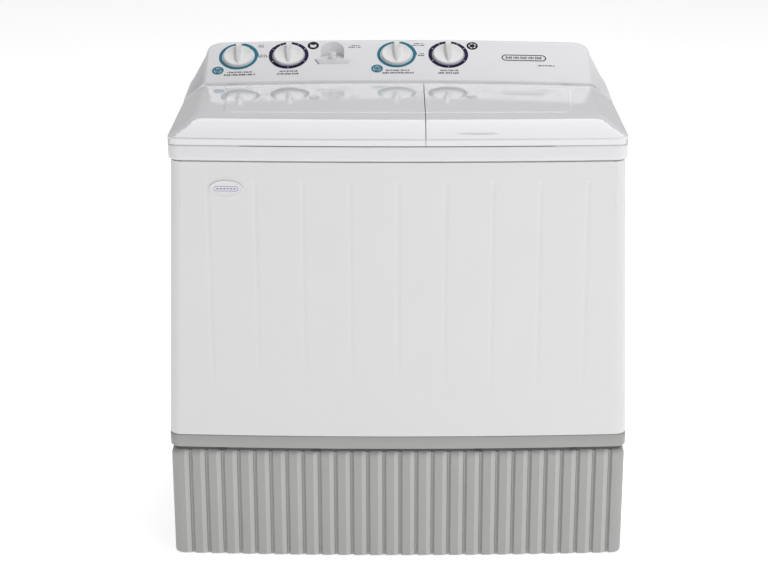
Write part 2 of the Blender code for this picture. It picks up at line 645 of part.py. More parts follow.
def build_wash_drive():
    x, y = WASH_AXIS
    profile = [
        (0.012, 0.3395), (0.160, 0.342), (0.165, 0.348), (0.155, 0.353),
        (0.060, 0.357), (0.030, 0.375), (0.012, 0.378),
    ]
    pulsator = add_object("pulsator", turned(profile, WASH_AXIS, 32), "blue_plastic", (x, y, 0.34))
    fins = bmesh.new()
    for i in range(4):
        fin = boxes([((0.020, -0.007, 0.345), (0.148, 0.007, 0.368))])
        turn = Matrix.Translation((x, y, 0)) @ Matrix.Rotation(math.tau * i / 4, 4, "Z")
        bmesh.ops.transform(fin, matrix=turn, verts=fin.verts)
        piece = bpy.data.meshes.new("fin")
        fin.to_mesh(piece)
        fin.free()
        fins.from_mesh(piece)
        bpy.data.meshes.remove(piece)
    combine(pulsator, tool("pulsator_fins", fins), "UNION")
    shaft = turned([(0.008, 0.292), (0.008, 0.3392)], WASH_AXIS, 16)
    add_object("pulsator_shaft", shaft, "steel", (x, y, 0.33))
    gearbox = [
        (0.0088, 0.288), (0.0088, 0.3295), (0.030, 0.3295), (0.030, 0.315), (0.055, 0.310),
        (0.055, 0.262), (0.030, 0.254), (0.0070, 0.254), (0.0070, 0.276),
    ]
    add_object("gearbox", turned(gearbox, WASH_AXIS, 24), "motor_alloy", (x, y, 0.28))
    pulley = [
        (0.0065, 0.273), (0.0065, 0.246), (0.071, 0.244), (0.0655, 0.239),
        (0.0655, 0.231), (0.071, 0.226), (0.020, 0.224),
    ]
    add_object("gearbox_pulley", turned(pulley, WASH_AXIS, 32), "dark_plastic", (x, y, 0.235))
    x, y = WASH_MOTOR_AXIS
    motor = [
        (0.0065, 0.180), (0.0065, 0.216), (0.020, 0.216), (0.022, 0.210), (0.050, 0.208),
        (0.058, 0.198), (0.058, 0.092), (0.050, 0.082), (0.020, 0.080),
    ]
    add_object("wash_motor", turned(motor, WASH_MOTOR_AXIS, 28), "motor_alloy", (x, y, 0.15))
    small_pulley = [
        (0.0058, 0.182), (0.0058, 0.224), (0.025, 0.226), (0.020, 0.231),
        (0.020, 0.239), (0.025, 0.244), (0.010, 0.245),
    ]
    add_object("wash_motor_pulley", turned(small_pulley, WASH_MOTOR_AXIS, 24), "motor_alloy", (x, y, 0.235))
    build_belt()
    hat = [
        (-0.075, BASE_FLOOR + GAP), (-0.055, BASE_FLOOR + GAP), (-0.055, 0.0757), (0.055, 0.0757),
        (0.055, BASE_FLOOR + GAP), (0.075, BASE_FLOOR + GAP), (0.075, 0.019), (0.058, 0.019),
        (0.058, 0.0797), (-0.058, 0.0797), (-0.058, 0.019), (-0.075, 0.019),
    ]
    rings = [[Vector((x + px, y + dy, pz)) for px, pz in hat] for dy in (-0.05, 0.05)]
    add_object("wash_motor_bracket", skin(rings), "steel", (x, y, 0.03))


def build_belt():
    """A flat loop round the gearbox pulley and the motor pulley, with straight runs between."""
    far, near = Vector(WASH_AXIS), Vector(WASH_MOTOR_AXIS)
    big, small, thickness = 0.0658, 0.0203, 0.0045
    lean = math.acos((big - small) / (far - near).length)
    rings = []
    for grow, z in ((0, 0.2315), (0, 0.2385), (thickness, 0.2385), (thickness, 0.2315)):
        ring = []
        for centre, radius, start, sweep, count in (
            (far, big, -(math.pi - lean), 2 * (math.pi - lean), 20),
            (near, small, math.pi - lean, 2 * lean, 10),
        ):
            for i in range(count + 1):
                angle = start + sweep * i / count
                ring.append(Vector((
                    centre.x + (radius + grow) * math.cos(angle),
                    centre.y + (radius + grow) * math.sin(angle),
                    z,
                )))
        rings.append(ring)
    add_object("wash_drive_belt", skin(rings, closed=True), "rubber", (*WASH_AXIS, 0.235))


def build_drain():
    x, y = DRAIN_ROD
    profile = [(0.0165, 0.282), (0.0165, 0.3297), (0.029, 0.3297), (0.029, 0.270), (0.012, 0.266)]
    add_object("drain_valve_body", turned(profile, DRAIN_ROD, 20), "dark_plastic", (x, y, 0.30))
    plunger = [(0.012, 0.3363), (0.018, 0.3363), (0.018, 0.3415), (0.003, 0.348), (0.003, DECK_TOP + 0.027)]
    add_object("drain_plunger", turned(plunger, DRAIN_ROD, 16), "rubber", (x, y, 0.3363))


def build_spin_side():
    x, y = SPIN_AXIS
    radius = SPIN_TUB_RADIUS
    tub = [
        (0.035, TUB_FLOOR), (radius - 0.015, TUB_FLOOR), (radius - 0.005, 0.345), (radius, TUB_RIM),
        (radius - 0.003, TUB_RIM), (radius - 0.008, 0.348), (radius - 0.018, TUB_FLOOR + 0.004),
        (0.035, TUB_FLOOR + 0.004),
    ]
    add_object("spin_tub", turned(tub, SPIN_AXIS, 40, closed=True), "tub_plastic", (x, y, TUB_FLOOR))
    bellows = [
        (0.0075, 0.348), (0.0075, 0.360), (0.016, 0.360), (0.030, 0.342),
        (0.048, 0.338), (0.048, 0.3345), (0.030, 0.3345), (0.018, 0.348),
    ]
    add_object("spin_bellows", turned(bellows, SPIN_AXIS, 24, closed=True), "rubber", (x, y, 0.3345))
    basket_radius = BASKET_RADIUS
    basket = [
        (0.020, 0.375), (0.110, 0.382), (basket_radius - 0.003, 0.400), (basket_radius, BASKET_TOP - 0.016),
        (basket_radius + 0.003, BASKET_TOP - 0.008), (basket_radius + 0.003, BASKET_TOP),
        (basket_radius - 0.004, BASKET_TOP),
        (basket_radius - 0.0025, BASKET_TOP - 0.018), (basket_radius - 0.0055, 0.403), (0.108, 0.386),
        (0.030, 0.382), (0.024, 0.415), (0.010, 0.422),
    ]
    add_object("spin_basket", turned(basket, SPIN_AXIS, 36), "steel", (x, y, 0.375))
    add_object("spin_shaft", turned([(0.006, 0.202), (0.006, 0.3747)], SPIN_AXIS, 16), "steel", (x, y, 0.375))
    drum = [(0.0063, 0.276), (0.055, 0.276), (0.055, 0.296), (0.052, 0.296), (0.052, 0.282), (0.0063, 0.282)]
    add_object("brake_drum", turned(drum, SPIN_AXIS, 28, closed=True), "motor_alloy", (x, y, 0.276))
    motor = [
        (0.0068, 0.198), (0.0068, 0.242), (0.020, 0.242), (0.024, 0.234), (0.058, 0.230),
        (0.065, 0.218), (0.065, 0.124), (0.056, 0.110),
    ]
    add_object("spin_motor", turned(motor, SPIN_AXIS, 28), "motor_alloy", (x, y, 0.17))
    build_brake()
    for number in range(3):
        angle = math.tau * number / 3 + math.pi / 2
        at = (x + 0.042 * math.cos(angle), y + 0.042 * math.sin(angle))
        build_spring(f"suspension_spring_{number + 1}", *at)


def build_brake():
    x, y = BRAKE_PIVOT
    bar = boxes([((x - 0.006, y - 0.010, 0.280), (x + 0.006, y + 0.105, 0.292))])
    lever = add_object("brake_lever", bar, "steel", (x, y, 0.286))
    combine(lever, tool("brake_lever_bore", turned([(0.0043, 0.270), (0.0043, 0.300)], BRAKE_PIVOT, 12)))
    pin = turned([(0.004, 0.270), (0.004, 0.3297)], BRAKE_PIVOT, 12)
    add_object("brake_pivot", pin, "steel", (x, y, 0.3297))


def build_spring(name, x, y):
    """A helical spring between the base floor and the spin motor."""
    turns, per_turn, coil, wire, sides = 5, 9, 0.012, 0.0018, 5
    low, high = BASE_FLOOR + GAP + wire, 0.1097 - wire
    rings = []
    total = turns * per_turn
    for i in range(total + 1):
        angle = math.tau * i / per_turn
        outward = Vector((math.cos(angle), math.sin(angle), 0))
        centre = Vector((x, y, mix(low, high, i / total))) + outward * coil
        rings.append([
            centre + outward * wire * math.cos(math.tau * k / sides)
            + Vector((0, 0, wire * math.sin(math.tau * k / sides)))
            for k in range(sides)
        ])
    add_object(name, skin(rings), "steel", (x, y, low))


def build_safety_cover():
    x, y, z = COVER_HINGE
    profile = [
        (0.138, LID_BOTTOM), (0.140, LID_BOTTOM + 0.002),
        (0.138, LID_BOTTOM + 0.004), (0.060, LID_BOTTOM + 0.0045),
    ]
    cover = add_object("spin_safety_cover", turned(profile, SPIN_AXIS, 40), "tub_plastic", COVER_HINGE)
    barrel = [
        (0.0020, -0.040), (0.0020, -0.030), (0.0040, -0.030),
        (0.0040, 0.030), (0.0020, 0.030), (0.0020, 0.040),
    ]
    combine(cover, tool("cover_barrel", along_x(turned(barrel, (0, 0), 12), x, y, z)), "UNION")
    tab = ((x - 0.028, SPIN_AXIS[1] + 0.130, LID_BOTTOM + 0.0008), (x + 0.028, y, LID_BOTTOM + 0.0040))
    combine(cover, tool("cover_tab", boxes([tab])), "UNION")
    for number, side in enumerate((-1, 1), 1):
        build_bracket(f"cover_pivot_{number}", (x + side * 0.0355, y, z), 0.0045, 0.0040)


def build_badge():
    """An oval plate, turned to lie along the bowed front."""
    x, z, half_width, half_height = -0.323, 0.761, 0.032, 0.016
    y = crowned(x, FRONT + 0.0036, z).y - 0.0012
    lean = math.atan(2 * FRONT_CROWN * x / HALF**2)
    outline = [
        (half_width * math.cos(math.tau * i / 28), half_height * math.sin(math.tau * i / 28))
        for i in range(28)
    ]
    rings = [[Vector((px, depth, pz)) for px, pz in outline] for depth in (0.0, -0.0018)]
    badge = add_object("badge", skin(rings), "white_gloss")
    badge.location = (x, y, z)
    badge.rotation_euler = (0, 0, lean)


def build_electrics():
    at = (0.04, 0.12)
    profile = [(0.020, BASE_FLOOR + GAP), (0.020, 0.082), (0.017, 0.086)]
    add_object("motor_capacitor", turned(profile, at, 20), "motor_alloy", (*at, BASE_FLOOR))


def main():
    for old in list(bpy.data.objects):
        bpy.data.objects.remove(old)
    build_feet()
    build_base()
    build_cabinet()
    build_rear_cover()
    build_deck()
    build_console()
    build_water_inlet()
    build_knobs()
    build_controls()
    build_lid("wash", -1)
    build_lid("spin", 1)
    build_wash_tub()
    build_wash_drive()
    build_drain()
    build_spin_side()
    build_safety_cover()
    build_badge()
    build_electrics()


main()
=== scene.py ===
"""Detailed looks for the twin tub washer, built round its CAD frame. Metres, +Z up, front towards -Y."""

import math

import bmesh
import bpy
from mathutils import Matrix, Vector


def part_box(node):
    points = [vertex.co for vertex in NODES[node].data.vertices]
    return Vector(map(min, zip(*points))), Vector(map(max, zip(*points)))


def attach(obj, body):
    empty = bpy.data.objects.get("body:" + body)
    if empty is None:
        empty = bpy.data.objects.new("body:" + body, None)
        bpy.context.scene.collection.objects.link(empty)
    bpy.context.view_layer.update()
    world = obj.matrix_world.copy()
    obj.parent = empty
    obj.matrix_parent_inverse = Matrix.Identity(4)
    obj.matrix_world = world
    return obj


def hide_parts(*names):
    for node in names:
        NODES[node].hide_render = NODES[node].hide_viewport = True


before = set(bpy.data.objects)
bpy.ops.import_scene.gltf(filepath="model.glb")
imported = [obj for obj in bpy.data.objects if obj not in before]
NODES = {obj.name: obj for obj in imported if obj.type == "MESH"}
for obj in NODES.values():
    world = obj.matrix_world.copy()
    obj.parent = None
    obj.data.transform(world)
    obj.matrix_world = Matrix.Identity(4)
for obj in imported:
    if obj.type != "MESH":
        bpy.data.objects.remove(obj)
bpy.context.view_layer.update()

# ---------------------------------------------------------------- dimensions taken from the CAD nodes
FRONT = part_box("cabinet")[0].y
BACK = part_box("cabinet")[1].y
CABINET_BOTTOM, CABINET_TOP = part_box("cabinet")[0].z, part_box("cabinet")[1].z
SKIRT_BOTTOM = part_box("base_skirt")[0].z
BAND_BOTTOM, BAND_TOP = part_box("base_band")[0].z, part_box("base_band")[1].z
SKIRT_TOP = BAND_BOTTOM - 0.0075
DECK_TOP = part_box("top_deck")[1].z
DECK_BOTTOM = DECK_TOP - 0.0292
LID_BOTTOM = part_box("wash_lid")[0].z
LID_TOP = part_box("wash_lid")[1].z
LID_LIP = LID_BOTTOM + 0.0125
HINGE_BEHIND, HINGE_RADIUS = 0.3625, 0.014
HINGE_Y, HINGE_Z = FRONT + HINGE_BEHIND, LID_TOP - HINGE_RADIUS
HALF = 0.433
BASE_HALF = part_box("base_band")[1].x
FRONT_CROWN, TOP_CROWN = 0.013, 0.0075
TOP_FRONT, CROWN_ENDS = FRONT + 0.07, FRONT + 0.26
SEAM, SEAM_GAP = 0.052, 0.0005
SLOPE_FOOT, SLOPE_RUN = 0.002, 0.068
LID_REAR = FRONT + 0.3765
HIP_FRONT, HIP_REAR = 0.384, 0.3965
EAR_FRONT = FRONT + 0.325
WALL = 0.003
FACE_TILT = math.radians(29.5)
FACE_FOOT = Vector((0, FRONT + 0.3775, LID_TOP))
FACE_LENGTH = 0.131
FACE_HALF = 0.396
KNOB_UP = 0.0835
CONSOLE_BACK = FRONT + 0.5035
KNOBS = ("wash_selector_knob", "wash_timer_knob", "cycle_selector_knob", "spin_timer_knob")


def clamp(value, low=0.0):
    return max(low, min(1.0, value))


def mix(a, b, share):
    return a + (b - a) * share


def ease(value):
    value = clamp(value)
    return value * value * (3 - 2 * value)


def soft_min(a, b, width):
    near = max(width - abs(a - b), 0) / width
    return min(a, b) - near * near * width / 4


def crowned(x, y, z):
    """Bows the front forward and the top up at the middle of the machine, as the CAD does."""
    side = (x / HALF) ** 2
    front_share = clamp((CROWN_ENDS - y) / (CROWN_ENDS - TOP_FRONT))
    rear_share = clamp((y - TOP_FRONT) / (HINGE_Y - TOP_FRONT))
    high_share = clamp((z - LID_BOTTOM) / (LID_TOP - LID_BOTTOM))
    return Vector((x, y + FRONT_CROWN * side * front_share, z - TOP_CROWN * side * rear_share * high_share))


def middle(name):
    """The middle of a CAD node's box, as x, y and z."""
    low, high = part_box(name)
    return [(low[i] + high[i]) / 2 for i in range(3)]


def half_size(name):
    low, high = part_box(name)
    return [(high[i] - low[i]) / 2 for i in range(3)]


def knob_x(name):
    return middle(name)[0]


def face_place(x, up, out=0.0):
    """A point on the console face, up its slope from its foot and out along its normal."""
    y = FACE_FOOT.y + up * math.cos(FACE_TILT) - out * math.sin(FACE_TILT)
    z = FACE_FOOT.z + up * math.sin(FACE_TILT) + out * math.cos(FACE_TILT)
    return crowned(x, y, z)


def face_matrix(x, up):
    """Local +Z along the console face's normal and +Y up its slope, at a place on the face."""
    return Matrix.Translation(face_place(x, up)) @ Matrix.Rotation(FACE_TILT, 4, "X")


# ---------------------------------------------------------------- materials
def node(tree, kind, **values):
    made = tree.nodes.new(kind)
    for key, value in values.items():
        if key in made.inputs:
            made.inputs[key].default_value = value
        else:
            setattr(made, key, value)
    return made


def noise(tree, coords, scale, detail, stretch=None):
    made = node(tree, "ShaderNodeTexNoise", Scale=scale, Detail=detail)
    if stretch:
        mapping = node(tree, "ShaderNodeMapping", Scale=stretch)
        tree.links.new(coords, mapping.inputs["Vector"])
        coords = mapping.outputs["Vector"]
    tree.links.new(coords, made.inputs["Vector"])
    return made.outputs["Fac"]


def ramp(tree, value, low, high, start=0.3, end=0.7):
    spans = {"From Min": start, "From Max": end, "To Min": low, "To Max": high}
    made = node(tree, "ShaderNodeMapRange", **spans)
    tree.links.new(value, made.inputs["Value"])
    return made.outputs["Result"]


def surface(name, colour, rough, vary, rough_vary, grain, depth, metal=0.0, coat=0.0, stretch=None,
            patch=9.0, **sockets):
    """A procedural finish: slow colour drift, uneven gloss and a fine moulded, brushed or cast grain."""
    made = bpy.data.materials.new(name)
    made.use_nodes = True
    tree = made.node_tree
    shader = tree.nodes["Principled BSDF"]
    coords = node(tree, "ShaderNodeTexCoord").outputs["Object"]
    drift = noise(tree, coords, patch, 4.0)
    blend = node(tree, "ShaderNodeMix", data_type="RGBA")
    darker = (*[c * (1 - vary) for c in colour], 1)
    lighter = (*[min(1, c * (1 + vary)) for c in colour], 1)
    for socket in blend.inputs:
        if socket.type == "RGBA":
            socket.default_value = darker if socket.name == "A" else lighter
    tree.links.new(ramp(tree, drift, 0, 1), blend.inputs["Factor"])
    colour_out = [s for s in blend.outputs if s.type == "RGBA"][0]
    tree.links.new(colour_out, shader.inputs["Base Color"])
    uneven = noise(tree, coords, patch * 4, 3.0, stretch)
    low, high = clamp(rough - rough_vary, 0.02), clamp(rough + rough_vary)
    tree.links.new(ramp(tree, uneven, low, high), shader.inputs["Roughness"])
    bump = node(tree, "ShaderNodeBump", Distance=depth, Strength=0.6)
    tree.links.new(noise(tree, coords, grain, 3.0, stretch), bump.inputs["Height"])
    tree.links.new(bump.outputs["Normal"], shader.inputs["Normal"])
    sockets = {"Metallic": metal, "Coat Weight": coat, "Coat Roughness": 0.06, **sockets}
    for key, value in sockets.items():
        shader.inputs[key.replace("_", " ")].default_value = value
    return made


def ink(name, colour, vary):
    """A matt print with hardly any gloss of its own."""
    return surface(name, colour, 0.5, vary, 0.04, 1500, 0.000005, patch=60, Specular_IOR_Level=0.12)


LOOKS = {
    "gloss": surface("lid_gloss_white", (0.8, 0.8, 0.825), 0.07, 0.004, 0.012, 320, 0.000004, coat=0.3),
    "console": surface("console_white", (0.825, 0.825, 0.845), 0.3, 0.004, 0.012, 700, 0.00002, coat=0.1),
    "panel": surface("cabinet_white", (0.74, 0.74, 0.745), 0.38, 0.004, 0.02, 620, 0.00004),
    "collar": surface("collar_white", (0.76, 0.76, 0.775), 0.32, 0.004, 0.012, 620, 0.00003),
    "base": surface("base_grey", (0.388, 0.388, 0.382), 0.5, 0.02, 0.05, 800, 0.00008),
    # lighter grey for the flutes' right-facing slopes: painted highlight where the key light from the right
    # falls
    "painted_highlight": surface("base_grey_painted_highlight", (0.48, 0.48, 0.475), 0.42, 0.02, 0.05, 800, 0.00005),
    "band": surface("band_grey", (0.365, 0.365, 0.358), 0.42, 0.02, 0.05, 800, 0.00006),
    # very dark grey for the ring inside the gap under the band: painted shade for the gap's shadow
    "gap": surface("gap_grey", (0.085, 0.085, 0.085), 0.62, 0.08, 0.08, 600, 0.00008),
    "tub": surface("tub_white", (0.78, 0.8, 0.815), 0.32, 0.004, 0.012, 500, 0.00002),
    "cover": surface("cover_smoke", (0.58, 0.64, 0.69), 0.3, 0.004, 0.012, 500, 0.00002),
    "blue": surface("blue_plastic", (0.16, 0.36, 0.56), 0.34, 0.015, 0.02, 600, 0.00003),
    "knob": surface("knob_white", (0.83, 0.83, 0.835), 0.27, 0.004, 0.015, 500, 0.00002, coat=0.15),
    "dark": surface("dark_plastic", (0.03, 0.03, 0.034), 0.46, 0.12, 0.08, 700, 0.00008),
    "steel": surface("brushed_steel", (0.58, 0.58, 0.6), 0.28, 0.05, 0.08, 500, 0.00004, 1.0,
                     stretch=(0.3, 0.3, 9.0), Anisotropic=0.4),
    "basket": surface("basket_steel", (0.74, 0.75, 0.765), 0.34, 0.01, 0.02, 500, 0.000004, 0.35,
                      stretch=(1.0, 1.0, 5.0)),
    "alloy": surface("cast_alloy", (0.5, 0.51, 0.53), 0.45, 0.07, 0.1, 260, 0.00018, 0.9),
    "rubber": surface("rubber", (0.022, 0.022, 0.022), 0.72, 0.15, 0.1, 420, 0.00012),
    "bellows": surface("bellows_rubber", (0.045, 0.047, 0.05), 0.6, 0.12, 0.1, 420, 0.0001),
    "teal": ink("print_teal", (0.022, 0.2, 0.29), 0.05),
    "navy": ink("print_navy", (0.007, 0.004, 0.045), 0.1),
    "black": ink("print_black", (0.006, 0.006, 0.008), 0.1),
    # dark grey for the line along the inlet ledge's left edge: painted shade, not print
    "grey": ink("painted_shade_grey", (0.13, 0.13, 0.14), 0.08),
    "lavender": surface("print_lavender", (0.45, 0.45, 0.56), 0.35, 0.03, 0.05, 1500, 0.00001, patch=60),
    "mark": surface("print_white", (0.8, 0.8, 0.82), 0.35, 0.02, 0.05, 1500, 0.00001, patch=60),
    "badge": surface("badge_enamel", (0.74, 0.74, 0.76), 0.2, 0.02, 0.05, 900, 0.00001, coat=0.5),
    "indigo": surface("badge_line", (0.16, 0.15, 0.34), 0.35, 0.06, 0.05, 1500, 0.00001, patch=60),
}


# ---------------------------------------------------------------- mesh helpers
def from_mesh(name, mesh, look, sharp=32):
    """Makes the bmesh an object with smooth shading, sharp only past an angle in degrees."""
    bmesh.ops.remove_doubles(mesh, verts=mesh.verts, dist=0.000002)
    bmesh.ops.recalc_face_normals(mesh, faces=mesh.faces)
    data = bpy.data.meshes.new(name)
    mesh.to_mesh(data)
    mesh.free()
    data.shade_smooth()
    data.set_sharp_from_angle(angle=math.radians(sharp))
    made = bpy.data.objects.new(name, data)
    bpy.context.scene.collection.objects.link(made)
    if look:
        data.materials.append(LOOKS[look])
    return made


def fit(piece, body, slot, *replaced):
    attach(piece, body)
    if replaced:
        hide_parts(*replaced)
    return piece


def add(name, mesh, look, slot, *replaced, body="cabinet", sharp=32):
    """Makes the bmesh, or the list of them, one fitted piece."""
    mesh = merged(mesh) if isinstance(mesh, list) else mesh
    return fit(from_mesh(name, mesh, look, sharp), body, slot, *replaced)


def skin(rings, closed=False, mesh=None):
    """Quads through outlines of equal length. The ends are capped, or the last ring meets the first."""
    mesh = mesh or bmesh.new()
    loops = [[mesh.verts.new(point) for point in ring] for ring in rings]
    following = loops[1:] + loops[:1] if closed else loops[1:]
    for near, far in zip(loops, following):
        for i in range(len(near)):
            j = (i + 1) % len(near)
            mesh.faces.new((near[i], near[j], far[j], far[i]))
    if not closed:
        mesh.faces.new(loops[0])
        mesh.faces.new(loops[-1])
    return mesh


def circle(radius, z, sides, centre=(0, 0)):
    turns = [math.tau * i / sides for i in range(sides)]
    return [Vector((centre[0] + radius * math.cos(t), centre[1] + radius * math.sin(t), z)) for t in turns]


def turned(profile, centre=(0, 0), sides=64, closed=False):
    return skin([circle(radius, z, sides, centre) for radius, z in profile], closed)


def placed(mesh, matrix):
    bmesh.ops.transform(mesh, matrix=matrix, verts=mesh.verts)
    return mesh


def merged(meshes):
    """One bmesh from several."""
    whole = bmesh.new()
    for mesh in meshes:
        bmesh.ops.recalc_face_normals(mesh, faces=mesh.faces)
        data = bpy.data.meshes.new("part")
        mesh.to_mesh(data)
        mesh.free()
        whole.from_mesh(data)
        bpy.data.meshes.remove(data)
    return whole


def cut(target, mesh, operation="DIFFERENCE"):
    """Applies a Boolean with the bmesh as the other solid."""
    other = from_mesh("cutter", mesh, None)
    modifier = target.modifiers.new("cut", "BOOLEAN")
    modifier.operation = operation
    modifier.solver = "EXACT"
    modifier.object = other
    graph = bpy.context.evaluated_depsgraph_get()
    data = bpy.data.meshes.new_from_object(target.evaluated_get(graph))
    target.modifiers.clear()
    old = target.data
    target.data = data
    data.name = old.name
    bpy.data.meshes.remove(old)
    bpy.data.objects.remove(other)
    trimmed = bmesh.new()
    trimmed.from_mesh(data)
    bmesh.ops.dissolve_degenerate(trimmed, dist=0.00002, edges=trimmed.edges)
    many_sided = [face for face in trimmed.faces if len(face.verts) > 4]
    bmesh.ops.triangulate(trimmed, faces=many_sided, ngon_method="EAR_CLIP")
    trimmed.to_mesh(data)
    trimmed.free()
    data.shade_smooth()
    data.set_sharp_from_angle(angle=math.radians(20))
    weighted = target.modifiers.new("even_shading", "WEIGHTED_NORMAL")
    weighted.keep_sharp = True
    weighted.weight = 100
    return target


def soften(piece, width, segments=3):
    """Rounds the piece's edges. It adds the modifier only, so a CAD node's mesh stays as it is."""
    modifier = piece.modifiers.new("soft_edges", "BEVEL")
    modifier.width = width
    modifier.segments = segments
    modifier.limit_method = "ANGLE"
    modifier.angle_limit = math.radians(32)
    modifier.harden_normals = True
    return piece


def sampled(*spans):
    """Sorted places along a line from (start, end, step) spans, the finer step winning where they overlap."""
    found = []
    for start, end, step in spans:
        count = max(1, round((end - start) / step))
        found += [start + (end - start) * i / count for i in range(count + 1)]
    kept = []
    for value in sorted(found):
        if not kept or value - kept[-1] > 0.0003:
            kept.append(value)
    return kept


def rounded(corners, steps, splits):
    """Outline from (x, y, radius) corners with true arcs. Edge i, after corner i, has splits[i] parts."""
    points = []
    count = len(corners)
    ends = []
    for i, (x, y, radius) in enumerate(corners):
        corner = Vector((x, y))
        before = (Vector(corners[i - 1][:2]) - corner).normalized()
        after = (Vector(corners[(i + 1) % count][:2]) - corner).normalized()
        half = before.angle(after) / 2
        reach = radius / math.tan(half)
        centre = corner + (before + after).normalized() * (radius / math.sin(half))
        start, end = corner + before * reach - centre, corner + after * reach - centre
        sweep = start.angle(end) if radius > 1e-6 else 0
        arc = []
        for step in range(steps + 1):
            t = step / steps
            if sweep < 1e-6:
                arc.append(corner + Vector((0, 0)))
            else:
                a, b = math.sin((1 - t) * sweep) / math.sin(sweep), math.sin(t * sweep) / math.sin(sweep)
                arc.append(centre + start * a + end * b)
        ends.append(arc)
    for i, arc in enumerate(ends):
        points += arc
        parts = splits[i] if i < len(splits) else 1
        target = ends[(i + 1) % count][0]
        points += [arc[-1].lerp(target, part / parts) for part in range(1, parts)]
    return points


def rectangle(x0, y0, x1, y1, radius, steps, splits=()):
    """Outline of a rectangle with rounded corners."""
    return rounded([(x0, y0, radius), (x1, y0, radius), (x1, y1, radius), (x0, y1, radius)], steps, splits)


def pill(width, height, radius, steps=8):
    return rectangle(-width / 2, -height / 2, width / 2, height / 2, radius, steps)


def rounded_box(low, high, radius, bevel=None, mesh=None):
    """A box with rounded corners in plan and a small round on its top and bottom edges."""
    bevel = bevel if bevel is not None else min(radius, (high[2] - low[2]) / 2) * 0.9
    rings = []
    for z, inset in (
        (low[2], bevel), (low[2] + bevel * 0.3, bevel * 0.3), (low[2] + bevel, 0),
        (high[2] - bevel, 0), (high[2] - bevel * 0.3, bevel * 0.3), (high[2], bevel),
    ):
        x0, x1, y0, y1 = low[0] + inset, high[0] - inset, low[1] + inset, high[1] - inset
        corner = max(radius - inset, 0.0001)
        rings.append([Vector((p.x, p.y, z)) for p in rectangle(x0, y0, x1, y1, corner, 5)])
    return skin(rings, mesh=mesh)


PRINT_THICK = 0.00012


def flat_print(outlines, thick=PRINT_THICK):
    """Thin raised shapes from closed outlines or (outer, inner) pairs, flat on the local XY plane."""
    mesh = bmesh.new()
    for outline in outlines:
        if isinstance(outline, tuple):
            outer, inner = outline
            rings = [[Vector((p[0], p[1], z)) for p in ring] for ring, z in (
                (outer, 0), (outer, thick), (inner, thick), (inner, 0))]
            skin(rings, True, mesh)
        else:
            skin([[Vector((p[0], p[1], z)) for p in outline] for z in (0, thick)], mesh=mesh)
    return mesh


def on_face(mesh, x, up, out=0.0):
    """Lays a flat mesh on the crowned console face."""
    for vert in mesh.verts:
        vert.co = face_place(x + vert.co.x, up + vert.co.y, out + vert.co.z)
    return mesh


def bar(x, y, width, height, turn=0.0):
    """Outline of a round-ended stroke."""
    outline = pill(width, height, min(width, height) * 0.45, 3)
    c, s = math.cos(turn), math.sin(turn)
    return [(x + p.x * c - p.y * s, y + p.x * s + p.y * c) for p in outline]


def arc_band(radius, thick, start, end, steps):
    """Outline of a band along an arc. thick is a number, or (thickness at start, at end)."""
    first, last = thick if isinstance(thick, tuple) else (thick, thick)
    outer, inner = [], []
    for i in range(steps + 1):
        angle = mix(start, end, i / steps)
        wide = mix(first, last, i / steps)
        outer.append((radius * math.cos(angle), radius * math.sin(angle)))
        inner.append(((radius - wide) * math.cos(angle), (radius - wide) * math.sin(angle)))
    return outer + inner[::-1]


def ring_pair(outer, inner):
    return circle(outer, 0, 96), circle(inner, 0, 96)


# ---------------------------------------------------------------- casing
CORNER_STEPS = 8
FLUTE_PITCH, FLUTE_START = 0.0318, -0.4081
FLUTE = (
    (-0.015, 0.0), (-0.0132, 0.0), (-0.0122, 0.0003), (-0.0056, 0.0023), (-0.0044, 0.003), (-0.0035, 0.0048),
    (-0.0027, 0.0062), (-0.0014, 0.0066), (0.001, 0.0066), (0.0018, 0.0056), (0.0026, 0.0022),
    (0.0032, 0.0005), (0.004, 0.0),
)


def flute_samples(low, high, start, count):
    """Places across a fluted face from low to high with the groove depth at each."""
    found = [(start + number * FLUTE_PITCH + at, depth) for number in range(count) for at, depth in FLUTE]
    found = [(at, depth) for at, depth in found if low + 0.0005 < at < high - 0.0005]
    return [(low, 0.0)] + found + [(high, 0.0)]


def casing_ring(z, half, behind, radius, samples, depth_share=1.0, back=None):
    """Plan outline of the casing. samples holds (place, depth) lists for the front, right, back and left."""
    front, rear = FRONT + behind, BACK if back is None else back
    front_samples, right_samples, back_samples, left_samples = samples
    points = []

    def corner(cx, cy, start):
        for step in range(CORNER_STEPS + 1):
            angle = start + math.pi / 2 * step / CORNER_STEPS
            points.append((cx + radius * math.cos(angle), cy + radius * math.sin(angle)))

    corner(-half + radius, front + radius, math.pi)
    for x, depth in front_samples:
        points.append((x, front + depth * depth_share))
    corner(half - radius, front + radius, -math.pi / 2)
    for y, depth in right_samples:
        points.append((half - depth * depth_share, y))
    corner(half - radius, rear - radius, 0)
    for x, depth in back_samples:
        points.append((x, rear - depth * depth_share))
    corner(-half + radius, rear - radius, math.pi / 2)
    for y, depth in left_samples:
        points.append((-half + depth * depth_share, y))
    return [crowned(x, y, z) for x, y in points]


def plain_samples():
    front = [(-0.4 + 0.8 * i / 40, 0.0) for i in range(41)]
    right = [(FRONT + 0.03 + 0.455 * i / 22, 0.0) for i in range(23)]
    return [front, right, front[::-1], right[::-1]]


RIB_X = [(-0.3585 + 0.0896 * i) for i in range(9)]


def rib_depth(x, z):
    """A shallow rounded groove down the front: round-topped, fading out towards the bottom."""
    depth = 0.0
    top, fade_start, fade_end = CABINET_TOP - 0.035, CABINET_TOP - 0.36, CABINET_TOP - 0.5
    for centre in RIB_X:
        offset = x - centre
        if abs(offset) > 0.02:
            continue
        share = ease((top - z) / 0.007)
        share *= 1 - ease((fade_start - z) / (fade_start - fade_end))
        left = ease((offset + 0.0085) / 0.0085)
        right = ease((0.0075 - offset) / 0.0075)
        depth += 0.001 * share * (left if offset < 0 else right)
    return depth


